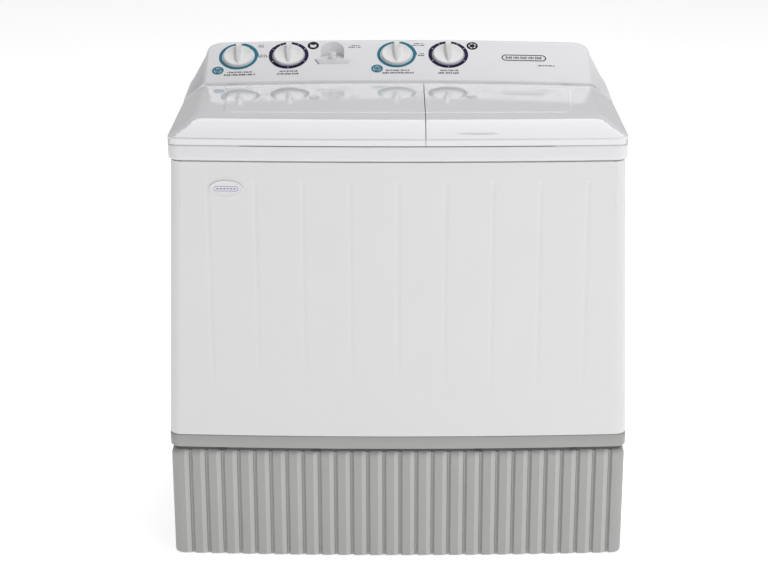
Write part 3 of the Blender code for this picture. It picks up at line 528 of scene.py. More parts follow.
def build_cabinet():
    front = sampled((-0.41, 0.41, 0.02), *[(x - 0.012, x + 0.012, 0.0015) for x in RIB_X])
    plain = plain_samples()
    rows = sampled(
        (CABINET_BOTTOM, CABINET_BOTTOM + 0.004, 0.001), (CABINET_BOTTOM + 0.004, CABINET_TOP - 0.05, 0.022),
        (CABINET_TOP - 0.05, CABINET_TOP - 0.025, 0.0015), (CABINET_TOP - 0.025, CABINET_TOP - 0.003, 0.006),
        (CABINET_TOP - 0.003, CABINET_TOP, 0.001),
    )
    rings = []
    for z in rows:
        share = (z - CABINET_BOTTOM) / (CABINET_TOP - CABINET_BOTTOM)
        half, behind = mix(BASE_HALF - 0.0007, 0.428, share), mix(0.0002, 0.004, share)
        inset = 0.0018 * (1 - math.sqrt(max(0, 1 - clamp(1 - (z - CABINET_BOTTOM) / 0.003) ** 2)))
        samples = [[(x, rib_depth(x, z)) for x in front], *plain[1:]]
        rings.append(casing_ring(z, half - inset, behind + inset, 0.021, samples, back=BACK - inset))
    for z, half, behind in ((CABINET_TOP, 0.425, 0.007), (CABINET_BOTTOM, BASE_HALF - 0.0037, 0.0032)):
        samples = [[(x, 0.0) for x in front], *plain[1:]]
        rings.append(casing_ring(z, half, behind, 0.018, samples, back=BACK - WALL))
    add("cabinet_shell", skin(rings, True), "panel", "white_panel", "cabinet")


def build_skirt(samples, inner):
    """The fluted skirt, rounded at its foot and drawn in under the band, with its hollow behind."""
    low, top, height = SKIRT_BOTTOM, SKIRT_TOP, SKIRT_TOP - SKIRT_BOTTOM
    rings = []
    for z, inset, share in (
        (0.0118, 0.0055, 0.0), (low + 0.0004, 0.005, 0.0), (low, 0.004, 0.3), (low, 0.002, 0.9),
        (low + 0.001, 0.001, 1.0), (low + 0.003, 0.0002, 1.0), (low + 0.006, 0.0, 1.0),
        (low + height * 0.35, 0.0, 1.0), (low + height * 0.7, 0.0, 1.0), (top - 0.014, 0.0, 1.0),
        (top - 0.01, 0.0003, 0.97), (top - 0.006, 0.0014, 0.9), (top - 0.0035, 0.003, 0.8),
        (top - 0.0015, 0.005, 0.6), (top, 0.0078, 0.2),
    ):
        share_up = clamp((z - low) / height)
        half, behind = BASE_HALF - mix(0.002, 0.0015, share_up), mix(0.004, 0.003, share_up)
        back = BACK - 0.004 - inset
        rings.append(casing_ring(z, half - inset, behind + inset, 0.018, samples, share, back))
    roof = CABINET_BOTTOM - 0.0008
    for z, half, behind in ((top + 0.0002, 0.0105, 0.0115), (roof, 0.0105, 0.0115), (roof, 0.0145, 0.015),
                            (0.016, 0.0145, 0.015)):
        rings.append(casing_ring(z, BASE_HALF - half, behind, 0.012, inner, 0.0, BACK - behind))
    skirt = from_mesh("fluted_skirt", skin(rings), "base", 24)
    # The front flutes' right-facing slopes get the lighter grey: a painted highlight from the light on the
    # right.
    skirt.data.materials.append(LOOKS["painted_highlight"])
    for face in skirt.data.polygons:
        on_front = abs(face.center.x) < BASE_HALF - 0.022 and face.normal.y < -0.5
        if on_front and 0.15 < face.normal.x < 0.55:
            face.material_index = 1
    outlet_x, _, outlet_z = middle("drain_outlet")
    bore = placed(turned([(0.0165, -0.03), (0.0165, 0.03)], sides=40),
                  Matrix.Translation((outlet_x, BACK, outlet_z)) @ Matrix.Rotation(math.pi / 2, 4, "X"))
    cut(skirt, bore)
    fit(skirt, "cabinet", "grey_plastic", "base_skirt")


def build_band(plain):
    low, top = BAND_BOTTOM, BAND_TOP
    rings = []
    for z, inset in (
        (low, 0.0016), (low + 0.0005, 0.0006), (low + 0.0016, 0.0), (top - 0.0016, 0.0),
        (top - 0.0006, 0.0004), (top, 0.0012),
    ):
        share = (z - low) / (top - low)
        half = BASE_HALF - mix(0.0006, 0.0002, share)
        front_gap = mix(0.0006, 0.0002, share) + inset
        rings.append(casing_ring(z, half - inset, front_gap, 0.02, plain, back=BACK - 0.0002 - inset))
    for z in (top, low):
        rings.append(casing_ring(z, BASE_HALF - 0.0102, 0.0107, 0.012, plain, back=BACK - 0.0105))
    add("base_trim_band", skin(rings, True), "band", "grey_plastic", "base_band")


def build_base():
    front = flute_samples(-BASE_HALF + 0.0225, BASE_HALF - 0.0225, FLUTE_START, 27)
    side = flute_samples(FRONT + 0.024, BACK - 0.024, -6.5 * FLUTE_PITCH, 14)
    plain = plain_samples()
    samples = [front, side, plain[2], side[::-1]]
    inner = [[(place, 0.0) for place, _ in group] for group in samples]
    build_skirt(samples, inner)
    build_band(plain)
    # A dark ring inside the gap under the band, with no real part behind it: painted shade that darkens the
    # shadow line under the band.
    low, high = SKIRT_TOP - 0.003, BAND_BOTTOM + 0.001
    gap_shade_rings = [casing_ring(z, BASE_HALF - depth, depth + 0.001, 0.012, inner, 0.0, BACK - depth)
            for z, depth in ((low, 0.0085), (high, 0.0085), (high, 0.0104), (low, 0.0104))]
    add("band_gap_painted_shade", skin(gap_shade_rings, True), "gap", "dark_plastic")
    # Four dark blocks in the gap under the band: painted shade for the shadowed slots there.
    slot_shades = []
    for x in (-0.345, -0.16, 0.158, 0.345):
        y = crowned(x, FRONT + 0.0068, 0).y
        slot_shades.append(rounded_box((x - 0.0075, y - 0.004, SKIRT_TOP + 0.0012),
                                 (x + 0.0075, y + 0.0042, BAND_BOTTOM - 0.0006), 0.001))
    add("band_slot_painted_shades", slot_shades, "dark", "dark_plastic")


WASH_MOUTH = (-0.375, FRONT + 0.045, 0.005, FRONT + 0.335)
SPIN_MOUTH = 0.132


def opening_outline(grow, z):
    """The wash tub's mouth in the deck, grown or shrunk all round."""
    left, front, right, rear = WASH_MOUTH
    outline = rectangle(left - grow, front - grow, right + grow, rear + grow, 0.05 + grow, 10, (10, 8, 10, 8))
    return [Vector((p.x, p.y, z)) for p in outline]


def build_deck():
    plain = plain_samples()
    rings = []
    plate = DECK_TOP - 0.007
    foot, top = DECK_BOTTOM, DECK_TOP
    for z, inset in (
        (top, 0.003), (top - 0.0005, 0.0014), (top - 0.0018, 0.0004), (top - 0.004, 0.0), (foot + 0.008, 0.0),
        (foot + 0.003, 0.0003), (foot + 0.001, 0.001), (foot, 0.0022),
    ):
        rings.append(casing_ring(z, 0.4325 - inset, 0.0013 + inset, 0.022, plain))
    step = CABINET_TOP - 0.005
    for z, half, behind, radius, back in (
        (foot, 0.4235, 0.0085, 0.016, 0.0045), (step, 0.4235, 0.0085, 0.016, 0.0045),
        (step, 0.4205, 0.0115, 0.013, 0.0075), (plate, 0.4205, 0.0115, 0.013, 0.0075),
    ):
        rings.append(casing_ring(z, half, behind, radius, plain, back=BACK - back))
    deck = from_mesh("top_deck_collar", skin(rings), "collar")
    low, high = CABINET_TOP - 0.02, DECK_TOP + 0.01
    cut(deck, skin([opening_outline(0, z) for z in (low, high)]))
    axis = middle("spin_basket")[:2]
    cut(deck, turned([(SPIN_MOUTH, low), (SPIN_MOUTH, high)], axis, 96))
    cut(deck, turned([(0.006, low), (0.006, high)], middle("drain_plunger")[:2], 24))
    notch = rounded_box((-0.295, FRONT - 0.02, DECK_TOP - 0.0012), (0.295, FRONT + 0.022, high), 0.004, 0.001)
    cut(deck, notch)
    fit(deck, "cabinet", "white_gloss", "top_deck")
    lip = [(0.0, -0.0012), (0.0005, 0.0), (0.0016, -0.0001), (0.003, -0.0012)]
    rings = [opening_outline(-grow * 0.4 - 0.0002, DECK_TOP - 0.0005 + z) for grow, z in lip]
    rings += [opening_outline(-0.0014, DECK_TOP - 0.0065), opening_outline(-0.0004, DECK_TOP - 0.0067)]
    add("wash_mouth_rim", skin(rings, True), "tub", "tub_plastic")
    profile = [(0.1318, plate + 0.001)]
    profile += [(radius, DECK_TOP - drop) for radius, drop in (
        (0.1318, 0.0008), (0.1312, 0.0002), (0.13, 0.0003), (0.129, 0.0015), (0.1285, 0.016),
        (0.13, 0.0165))]
    add("spin_mouth_rim", turned(profile, axis, 96, True), "tub", "tub_plastic")


# ---------------------------------------------------------------- lids
EDGE = HALF - 0.0002
PLATEAU_FRONT, PLATEAU_REAR = 0.105, 0.338
PLATEAU_LIFT, PLATEAU_CORNER = 0.0011, 0.017
HIP_START, HIP_RUN = 0.07, 0.3065
FINGER_MARK, FINGER_REACH = (0.15, 0.019), (0.044, 0.0036)
LABEL_FRAME, LABEL_REACH, LABEL_LINE = (0.236, 0.3), (0.069, 0.016), 0.0012
LID_START, LID_CORNER, LID_BODY = 0.0022, 0.02, 0.3


def hip_at(behind):
    return mix(HIP_FRONT, HIP_REAR, clamp((behind - HIP_START) / HIP_RUN))


def plateau_share(x, behind):
    """1 on the raised middle of a lid, 0 off it, easing across its rounded edge."""
    edge = mix(0.3325, 0.3445, clamp((behind - PLATEAU_FRONT) / (PLATEAU_REAR - PLATEAU_FRONT)))
    corner = PLATEAU_CORNER
    across, along = abs(x) - (edge - corner), abs(behind - (PLATEAU_FRONT + PLATEAU_REAR) / 2)
    along -= (PLATEAU_REAR - PLATEAU_FRONT) / 2 - corner
    outside = math.hypot(max(across, 0), max(along, 0)) + min(max(across, along), 0) - corner
    return ease(0.5 - outside / 0.0026)


def lid_height(x, behind, side):
    """Height of a lid's top before the crown: slopes, hinge roll, raised middle and the spin lid's marks."""
    rise = LID_TOP - LID_LIP
    up_slope = (behind - SLOPE_FOOT) / SLOPE_RUN
    front = LID_LIP + up_slope * rise
    bulge = 0.0016 * math.sin(math.pi * clamp(up_slope))
    side_line = LID_LIP + (EDGE - abs(x)) / (EDGE - hip_at(behind)) * rise
    z = soft_min(LID_TOP, front + bulge, 0.0055)
    z = soft_min(z, side_line + 0.0009, 0.0075)
    if behind > HINGE_BEHIND:
        roll = (behind - HINGE_BEHIND) / HINGE_RADIUS
        z = min(z, HINGE_Z + HINGE_RADIUS * math.sqrt(max(0.0, 1 - roll**2)))
    plateau = plateau_share(x, behind)
    z += PLATEAU_LIFT * plateau
    if side > 0:
        lens_x, lens_y = (x - FINGER_MARK[0]) / FINGER_REACH[0], (behind - FINGER_MARK[1]) / FINGER_REACH[1]
        lens = lens_x**2 + lens_y**2
        z += 0.0009 * ease(1 - lens)
        ridge = max(abs(x - LABEL_FRAME[0]) - LABEL_REACH[0], abs(behind - LABEL_FRAME[1]) - LABEL_REACH[1])
        if plateau > 0.9:
            z -= 0.0003 * ease(1 - abs(ridge) / LABEL_LINE)
    return z


def edge_drop(distance, radius):
    if distance >= radius:
        return 0.0
    return radius - math.sqrt(max(0.0, radius * radius - (radius - distance) ** 2))


def lid_columns(side, seam):
    """Places across a lid, closer at its edge, its raised middle's edge, the seam and the finger mark."""
    low, high = (seam, EDGE) if side > 0 else (-EDGE, seam)
    spans = [(low, high, 0.009)]
    for centre, reach, step in (
        (0.3385, 0.0095, 0.0009), (0.41, 0.022, 0.004), (EDGE - 0.003, 0.003, 0.0007),
    ):
        spans.append((max(low, side * centre - reach), min(high, side * centre + reach), step))
    spans.append((*sorted((seam, seam + side * 0.002)), 0.0005))
    if side > 0:
        spans.append((0.104, 0.196, 0.003))
    return sampled(*spans)


def lid_rows(side):
    """(distance back, share of the rest of the way to the rear edge), closer where the shape turns."""
    mark, label = (0.0007, 0.0015) if side > 0 else (0.006, 0.01)
    body = sampled((0.0, 0.006, 0.0007), (0.006, LID_BODY, 0.009), (0.012, 0.026, mark),
                   (0.055, 0.085, 0.003), (0.099, 0.111, 0.0009), (0.28, LID_BODY, label))
    tail = sampled((0.0, 0.12, 0.12), (0.12, 0.62, 0.1), (0.62, 0.8, 0.02), (0.8, 1.0, 0.05))
    return [(back, 0.0) for back in body] + [(LID_BODY, share) for share in tail[1:]]


def lid_point(x, back, share, side, seam):
    """A point on the lid's top, and the one under it on the inside of its wall."""
    rear = mix(LID_REAR - FRONT, EAR_FRONT - FRONT, clamp((abs(x) - HIP_REAR) / (EDGE - HIP_REAR)))
    behind = mix(LID_START + back, rear, share)
    border = min(EDGE - abs(x), behind - LID_START)
    side_centre, front_centre = EDGE - LID_CORNER, LID_START + LID_CORNER
    across, along = (abs(x) - side_centre) / LID_CORNER, (front_centre - behind) / LID_CORNER
    if across > 0 and along > 0:
        x = math.copysign(side_centre + LID_CORNER * across * math.sqrt(1 - along**2 / 2), x)
        behind = front_centre - LID_CORNER * along * math.sqrt(1 - across**2 / 2)
        border = LID_CORNER - math.hypot(abs(x) - side_centre, front_centre - behind)
    z = lid_height(x, behind, side) - edge_drop(border, 0.0017) - edge_drop(abs(x - seam), 0.001)
    inner_x = x - math.copysign(min(WALL, max(0, WALL - (EDGE - abs(x)))), x)
    if abs(inner_x - seam) < WALL:
        inner_x = seam + side * WALL
    inner_y = FRONT + min(max(behind, LID_START + WALL), LID_REAR - FRONT - 0.0025)
    return crowned(x, FRONT + behind, z), crowned(inner_x, inner_y, min(z, LID_TOP) - WALL)


def lid_mesh(side, seam):
    """The lid's top and underside as grids, joined by a wall that drops to the deck all round."""
    xs = lid_columns(side, seam)
    grid = [[lid_point(x, back, share, side, seam) for x in xs] for back, share in lid_rows(side)]
    mesh = bmesh.new()
    top, under = [[[mesh.verts.new(pair[i]) for pair in line] for line in grid] for i in (0, 1)]
    count, wide = len(top), len(xs)
    for sheet in (top, under):
        for r in range(count - 1):
            for c in range(wide - 1):
                mesh.faces.new((sheet[r][c], sheet[r][c + 1], sheet[r + 1][c + 1], sheet[r + 1][c]))
    around = [(0, c) for c in range(wide)] + [(r, wide - 1) for r in range(1, count)]
    around += [(count - 1, c) for c in range(wide - 2, -1, -1)] + [(r, 0) for r in range(count - 2, 0, -1)]
    drops = []
    for r, c in around:
        point, inner = top[r][c].co, under[r][c].co
        floor = min(HINGE_Z, point.z - 0.0004) if point.y > HINGE_Y - 0.004 else LID_BOTTOM
        low = Vector((point.x, point.y + (0.0006 if r == 0 else 0), floor))
        inner_low = (inner.x, inner.y, min(floor, inner.z - 0.0003))
        drops.append((mesh.verts.new(low), mesh.verts.new(inner_low)))
    for i, (r, c) in enumerate(around):
        j = (i + 1) % len(around)
        r2, c2 = around[j]
        (outer, inner), (outer2, inner2) = drops[i], drops[j]
        mesh.faces.new((top[r][c], top[r2][c2], outer2, outer))
        mesh.faces.new((outer, outer2, inner2, inner))
        mesh.faces.new((inner, inner2, under[r2][c2], under[r][c]))
    return mesh


def build_lid(name, side):
    seam = SEAM + side * SEAM_GAP
    body = f"{name}_lid"
    lid = from_mesh(f"{body}_shell", lid_mesh(side, seam), "gloss", 30)
    notches = bmesh.new()
    for number in (1, 2):
        low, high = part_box(f"{body}_bracket_{number}")
        rounded_box((low.x - 0.003, HINGE_Y - 0.0055, HINGE_Z - 0.03),
                    (high.x + 0.003, LID_REAR + 0.006, HINGE_Z + 0.0078), 0.0008, 0.0004, notches)
    cut(lid, notches)
    fit(lid, body, "white_gloss", body)
    ribs = []
    for i in range(5):
        x = mix(seam + side * 0.03, side * 0.365, i / 4)
        y = crowned(x, FRONT + 0.11, LID_TOP).y
        z = crowned(x, FRONT + 0.3, LID_TOP).z - WALL - 0.0002
        low, high = (x - 0.0011, y, z - 0.0045), (x + 0.0011, FRONT + 0.32, z + 0.001)
        ribs.append(rounded_box(low, high, 0.0004, 0.0003))
    add(f"{body}_ribs", ribs, "gloss", "white_gloss", body=body)


# ---------------------------------------------------------------- console
def console_share(x):
    """0 across the face, 1 at the ends of the low ears, with a soft turn at the face's edge."""
    raw = (abs(x) - FACE_HALF) / (EDGE - FACE_HALF)
    turn = 0.14
    if raw < -turn:
        return 0.0
    if raw < turn:
        return (raw + turn) ** 2 / (4 * turn)
    return min(raw, 1.0)


def soften_path(points):
    """Rounds a profile's corners: each point is (y, z, radius), with no radius for a plain one."""
    found = []
    for i, (y, z, radius) in enumerate(points):
        if radius <= 0:
            found.append((y, z))
            continue
        corner = Vector((y, z))
        before, after = Vector(points[i - 1][:2]) - corner, Vector(points[i + 1][:2]) - corner
        reach = min(radius, before.length * 0.48, after.length * 0.48)
        start, end = corner + before.normalized() * reach, corner + after.normalized() * reach
        for step in range(6):
            t = step / 5
            p = start * (1 - t) ** 2 + corner * 2 * t * (1 - t) + end * t**2
            found.append((p.x, p.y))
    return found


def console_ring(x, inset=0.0):
    """Side profile of the console at x, or of its hollow when there is an inset."""
    share = console_share(abs(x) + inset * 1.6)
    turn = clamp((abs(x) + inset - 0.364) / 0.034)
    length = FACE_LENGTH - 0.034 * (1 - math.sqrt(1 - turn * turn))
    top_y = FACE_FOOT.y + length * math.cos(FACE_TILT)
    top_z = FACE_FOOT.z + length * math.sin(FACE_TILT)
    foot_y = mix(FACE_FOOT.y, EAR_FRONT + 0.001, share) + inset
    foot_z = mix(LID_TOP - 0.007, LID_LIP + 0.0005, share) - inset
    bevel_z = mix(LID_TOP + 0.0018, LID_LIP + 0.0025, share) - inset
    crest = mix(top_z, LID_LIP + 0.01, share) - inset
    back = CONSOLE_BACK - inset
    floor = LID_BOTTOM - (0.01 if inset else 0)
    path = [
        (foot_y, floor, 0), (foot_y, foot_z, 0.002), (foot_y + 0.004, bevel_z, 0.002), (top_y, crest, 0.009),
        (back, crest - mix(0.006, 0.0035, share), 0.008), (back, floor, 0),
    ]
    return [crowned(x, y, z) for y, z in soften_path(path)]


def niche_mesh(x, up, radius, floor_z):
    """A dome-backed slot cut straight down into the face."""
    y = FACE_FOOT.y + up * math.cos(FACE_TILT)
    outline = [(x + radius, y - 0.03)]
    turns = [math.pi * i / 24 for i in range(25)]
    outline += [(x + radius * math.cos(t), y + radius * math.sin(t)) for t in turns]
    outline.append((x - radius, y - 0.03))
    return skin([[Vector((px, py, z)) for px, py in outline] for z in (floor_z, floor_z + 0.06)])


FACE_FLAT = 0.362
NICHE_CLEAR, NICHE_RADIUS = 0.034, 0.0245
BOSS_HALF, BOSS_DROP = 0.029, 0.0132


def build_console():
    ends = sampled((FACE_FLAT, FACE_HALF - 0.008, 0.003), (FACE_HALF - 0.008, EDGE, 0.0015))
    inlet_x, inlet_y, _ = middle("water_inlet")
    inlet_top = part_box("water_inlet")[1].z
    across = [x for x in sampled((-FACE_FLAT, FACE_FLAT, 0.008)) if abs(x - inlet_x) > NICHE_CLEAR]
    stations = [-x for x in ends[::-1]] + across[1:-1] + ends
    console = from_mesh("console_shell", skin([console_ring(x) for x in stations]), "console", 38)
    cut(console, skin([console_ring(x, WALL) for x in stations if abs(x) < EDGE - 0.007]))
    floor = inlet_top - 0.0133
    near, rear = inlet_y - 0.022, CONSOLE_BACK - 0.006
    far = rear - 0.006
    near_z, far_z = (FACE_FOOT.z + (y - FACE_FOOT.y) * math.tan(FACE_TILT) - 0.0016 for y in (near, far))
    boss = [(near, floor - BOSS_DROP), (near, near_z), (far, far_z - 0.002), (rear, far_z - 0.006),
            (rear, floor - BOSS_DROP)]
    sides = (inlet_x - BOSS_HALF, inlet_x + BOSS_HALF)
    cut(console, skin([[crowned(x, y, z) for y, z in boss] for x in sides]), "UNION")
    centre_up = (inlet_y + 0.0125 - FACE_FOOT.y) / math.cos(FACE_TILT)
    cut(console, niche_mesh(inlet_x, centre_up, NICHE_RADIUS, floor))
    cut(console, turned([(0.0078, LID_TOP), (0.0078, floor + 0.02)], (inlet_x, inlet_y), 32))
    for name in KNOBS:
        bore = turned([(0.006, -0.01), (0.006, 0.01)], sides=32)
        cut(console, placed(bore, face_matrix(knob_x(name), KNOB_UP)))
    lean = math.cos(FACE_TILT)
    for face in console.data.polygons:
        if abs(face.normal.z - lean) < 0.012 and abs(face.normal.x) < 0.12:
            face.use_smooth = False
    fit(console, "cabinet", "white_gloss", "console_housing")
    profile = [(radius, floor + rise) for radius, rise in (
        (0.0055, -0.0342), (0.0072, -0.0342), (0.0072, 0.0003), (0.0087, 0.0003), (0.0087, 0.0012),
        (0.0079, 0.002))]
    profile += [(radius, inlet_top - drop) for radius, drop in (
        (0.0079, 0.006), (0.0086, 0.005), (0.0087, 0.002), (0.0082, 0.0005), (0.0074, 0), (0.0064, 0.0002),
        (0.0055, 0.0014))]
    spigot = turned(profile, (inlet_x, inlet_y), 48, True)
    add("inlet_spigot", spigot, "knob", "white_gloss", "water_inlet")


# ---------------------------------------------------------------- knobs and dials
def build_knob(name):
    """A round skirt with a tall grip across it that swells in the middle."""
    matrix = face_matrix(knob_x(name), KNOB_UP)
    radius = half_size(name)[0] - 0.0004
    profile = [(0.0029, -0.0218), (0.0029, 0.0009)]
    profile += [(radius - inset, z) for inset, z in (
        (0.0006, 0.0009), (0, 0.0013), (0, 0.0034), (0.0004, 0.0043), (0.0012, 0.0049), (0.0026, 0.0051),
        (0.0042, 0.0049))]
    profile += [(radius * 0.75, 0.0046), (radius * 0.4, 0.0043), (0.002, 0.0042)]
    rings = []
    for i in range(33):
        t = -1 + 2 * i / 32
        y = mix(-0.0262, radius - 0.001, (t + 1) / 2)
        swell = math.sqrt(max(0.0, 1 - (abs(t) ** 2.2)))
        height = mix(0.0088, 0.0142, clamp((t + 1) / 1.5)) - 0.0018 * ease((abs(t) - 0.88) / 0.12)
        height -= 0.003 * ease((-0.55 - t) / 0.45)
        top = mix(0.002, 0.0056, clamp((t + 1) / 1.8))
        foot = top + 0.0012 + 0.0105 * swell
        flank = [(mix(foot, top, 1 - (1 - k / 8) ** 2.6), mix(0.0035, height - 0.0006, (k / 8) ** 1.7))
                 for k in range(9)]
        flank.append((top - 0.0006, height))
        rings.append([Vector((x, y, z)) for x, z in flank] + [Vector((-x, y, z)) for x, z in flank[::-1]])
    parts = [placed(turned(profile, sides=96), matrix), placed(skin(rings), matrix)]
    add(f"{name}_body", parts, "knob", "knob_white", name, body=name, sharp=40)


def swirl(radius, turn):
    """Strokes of a generic water swirl."""
    strokes = []
    for i in range(3):
        start = turn + math.tau * i / 3
        strokes.append(arc_band(radius, (0.0003, radius * 0.24), start, start + 1.55, 10))
        inner = arc_band(radius, (0.0002, radius * 0.26), start + 0.9, start + 2.4, 8)
        strokes.append([(x * 0.52, y * 0.52) for x, y in inner])
    return strokes


def build_dial(name, style):
    """The printed ring round a knob: a teal one for a selector, a graduated navy one for a timer."""
    def layer(shapes, label, look, slot, out=0.0):
        mesh = on_face(flat_print(shapes), knob_x(name), KNOB_UP + 0.0008, out)
        add(f"{name}_{label}", mesh, look, slot)

    def arc(radius, thick, start, end, steps):
        return arc_band(radius, thick, math.radians(start), math.radians(end), steps)

    if style == "teal":
        layer([ring_pair(0.0402, 0.0338)], "ring", "teal", "blue_plastic")
        wedges = [arc(0.0412, (0.0012, 0.0086), 76, 48, 14), arc(0.0412, (0.0086, 0.007), 48, 10, 16),
                  arc(0.042, 0.007, 10, -3, 4)]
        layer(wedges, "wedges", "teal", "blue_plastic", PRINT_THICK)
        return
    layer([ring_pair(0.0412, 0.0338)], "ring", "navy", "blue_plastic")
    layer([ring_pair(0.0337, 0.0318)], "track", "lavender", "white_gloss")
    ticks = []
    for hour in (1, 2, 4, 6, 8, 10, 11):
        angle = math.radians(90 - 30 * hour)
        ticks.append(bar(0.0376 * math.cos(angle), 0.0376 * math.sin(angle), 0.0034, 0.0012, angle))
    layer(ticks, "ticks", "mark", "white_gloss", PRINT_THICK)
    layer([arc(0.042, 0.003, 168, 140, 10)], "step", "navy", "blue_plastic", PRINT_THICK)
    marks = []
    for i in range(31):
        angle = math.radians(60 - 300 * i / 30)
        length = 0.0012 if i % 5 else 0.0018
        at = 0.0336 - length / 2
        marks.append(bar(at * math.cos(angle), at * math.sin(angle), length, 0.0004, angle))
    layer(marks, "graduations", "navy", "dark_plastic", PRINT_THICK)


def greeked(x, up, rows, seed):
    """Rows of short strokes in place of lettering. Each row is (width, height, drop)."""
    strokes = []
    for row, (width, height, drop) in enumerate(rows):
        at = -width / 2
        number = 0
        while at < width / 2 - 0.001:
            beat = abs(math.sin(seed * 12.9 + row * 7.7 + number * 4.3))
            tall = height * (0.62 + 0.38 * beat)
            strokes.append(bar(at + 0.0005, -drop, 0.0015, tall))
            if beat > 0.35:
                strokes.append(bar(at + 0.0019, -drop + height * (beat - 0.65) * 0.8, 0.0018, 0.0014))
            at += 0.0034 if number % 4 != 3 else 0.005
            number += 1
    return on_face(flat_print(strokes), x, up)


def pill_frame(width, height, thick, roundness):
    """Outer and inner outline of a pill-shaped frame."""
    sizes = [(width + 2 * grow, height + 2 * grow) for grow in (0, -thick)]
    return tuple(pill(wide, high, high / 2 * roundness) for wide, high in sizes)


NAMEPLATE = (0.26, 0.077)
TUB_GLYPH = [(-0.0066, 0.0042), (-0.0036, 0.0022), (0.0, 0.0012), (0.0036, 0.0022), (0.0066, 0.0042),
             (0.0058, -0.0046), (0.002, -0.0062), (-0.002, -0.0062), (-0.0058, -0.0046)]


def build_captions(knobs):
    """Rows of strokes under each knob and beside the dials."""
    labels = []
    captions = ((0.006, 0.064), (0.002, 0.046), (0.003, 0.062), (0.001, 0.044))
    for index, (x, (shift, wide)) in enumerate(zip(knobs, captions)):
        rows = ((wide * 0.8, 0.0046, 0), (wide, 0.0054, 0.0078))
        labels.append(greeked(x + shift, 0.035, rows, index + 1))
    small = ((knobs[0] + 0.047, 0.1175, 0.016), (knobs[0] + 0.052, 0.086, 0.019),
             (knobs[2] + 0.045, 0.1175, 0.024), (knobs[2] + 0.052, 0.086, 0.015), (-0.089, 0.112, 0.026))
    for index, (x, up, wide) in enumerate(small):
        labels.append(greeked(x, up, ((wide * 0.7, 0.003, 0), (wide, 0.0034, 0.0052)), index + 6))
    labels.append(greeked(0.306, 0.054, ((0.034, 0.0044, 0),), 11))
    add("function_marks", labels, "black", "dark_plastic")


def build_icons(knobs):
    """Teal discs with a swirl for the selectors, black ones with a tub or a ring for the timers."""
    fan = [arc_band(0.0078, 0.0026, math.tau * i / 5 + 0.15, math.tau * i / 5 + 0.95, 6) for i in range(5)]
    discs = {"teal": [], "black": []}
    glyphs = []
    for x, up, radius, look, shapes in (
        (knobs[0] - 0.04, 0.042, 0.012, "teal", swirl(0.0078, 0.5)),
        (knobs[2] - 0.04, 0.0405, 0.012, "teal", swirl(0.0078, 0.5)),
        (knobs[1] + 0.05, 0.1135, 0.0118, "black", [TUB_GLYPH]),
        (knobs[3] + 0.05, 0.112, 0.0118, "black", fan),
    ):
        discs[look].append(on_face(flat_print([circle(radius, 0, 48)]), x, up))
        glyphs.append(on_face(flat_print(shapes), x, up, PRINT_THICK))
    add("selector_icons", discs["teal"], "teal", "blue_plastic")
    add("timer_icons", discs["black"], "black", "dark_plastic")
    add("icon_glyphs", glyphs, "mark", "white_gloss")


def build_prints():
    for name, style in zip(KNOBS, ("teal", "navy", "teal", "navy")):
        build_dial(name, style)
    knobs = [knob_x(name) for name in KNOBS]
    build_captions(knobs)
    build_icons(knobs)
    frame_print = on_face(flat_print([pill_frame(0.092, 0.0185, 0.0022, 0.99)]), *NAMEPLATE)
    plate = [frame_print, greeked(*NAMEPLATE, ((0.074, 0.0085, 0),), 5)]
    add("plain_nameplate", plate, "black", "dark_plastic")
    ledge = []
    for out, inset in ((0.0, 0.0), (0.0006, 0.0034)):
        near = -0.0085 + inset * 0.4
        ledge.append([Vector((x, up, out)) for x, up in (
            (-0.0365 + inset, 0.007), (-0.0285 + inset, near), (0.033 - inset, near),
            (0.0405 - inset, 0.007))])
    soften(add("inlet_ledge", on_face(skin(ledge), -0.134, 0.064), "mark", "white_gloss"), 0.0003)
    # A thin dark strip along the ledge's left edge: painted shade on its left-facing side.
    edge_shade = [(-0.0015, 0.006), (0.0, 0.0062), (0.0085, -0.0078), (0.0072, -0.0084)]
    add("ledge_edge_painted_shade", on_face(flat_print([edge_shade], 0.0004), -0.1705, 0.064), "grey", "dark_plastic")


def build_badge():
    x, _, z = middle("badge")
    half_width, _, half_height = half_size("badge")
    y = crowned(x, FRONT + 0.0032, 0).y
    lean = math.atan(2 * FRONT_CROWN * x / HALF**2)
    matrix = Matrix.Translation((x, y - 0.0002, z)) @ Matrix.Rotation(lean, 4, "Z")
    matrix = matrix @ Matrix.Rotation(math.pi / 2, 4, "X")
    turns = [math.tau * i / 72 for i in range(72)]
    rings = []
    for share, out in ((1.0, -0.0008), (1.0, 0.0008), (0.985, 0.0014), (0.955, 0.0017), (0.93, 0.0014),
                       (0.9, 0.0012), (0.5, 0.0013), (0.02, 0.0013)):
        wide, high = half_width * share, half_height * share
        rings.append([Vector((wide * math.cos(t), high * math.sin(t), out)) for t in turns])
    add("badge_oval", placed(skin(rings), matrix), "badge", "white_gloss", "badge")
    strokes = [pill_frame(0.046, 0.0098, 0.0008, 0.98)]
    strokes += [bar(-0.016 + 0.0064 * i, 0, 0.0044, 0.0022) for i in range(6)]
    raised = matrix @ Matrix.Translation((0, 0, 0.00135))
    add("badge_line", placed(flat_print(strokes, 0.0001), raised), "indigo", "blue_plastic")


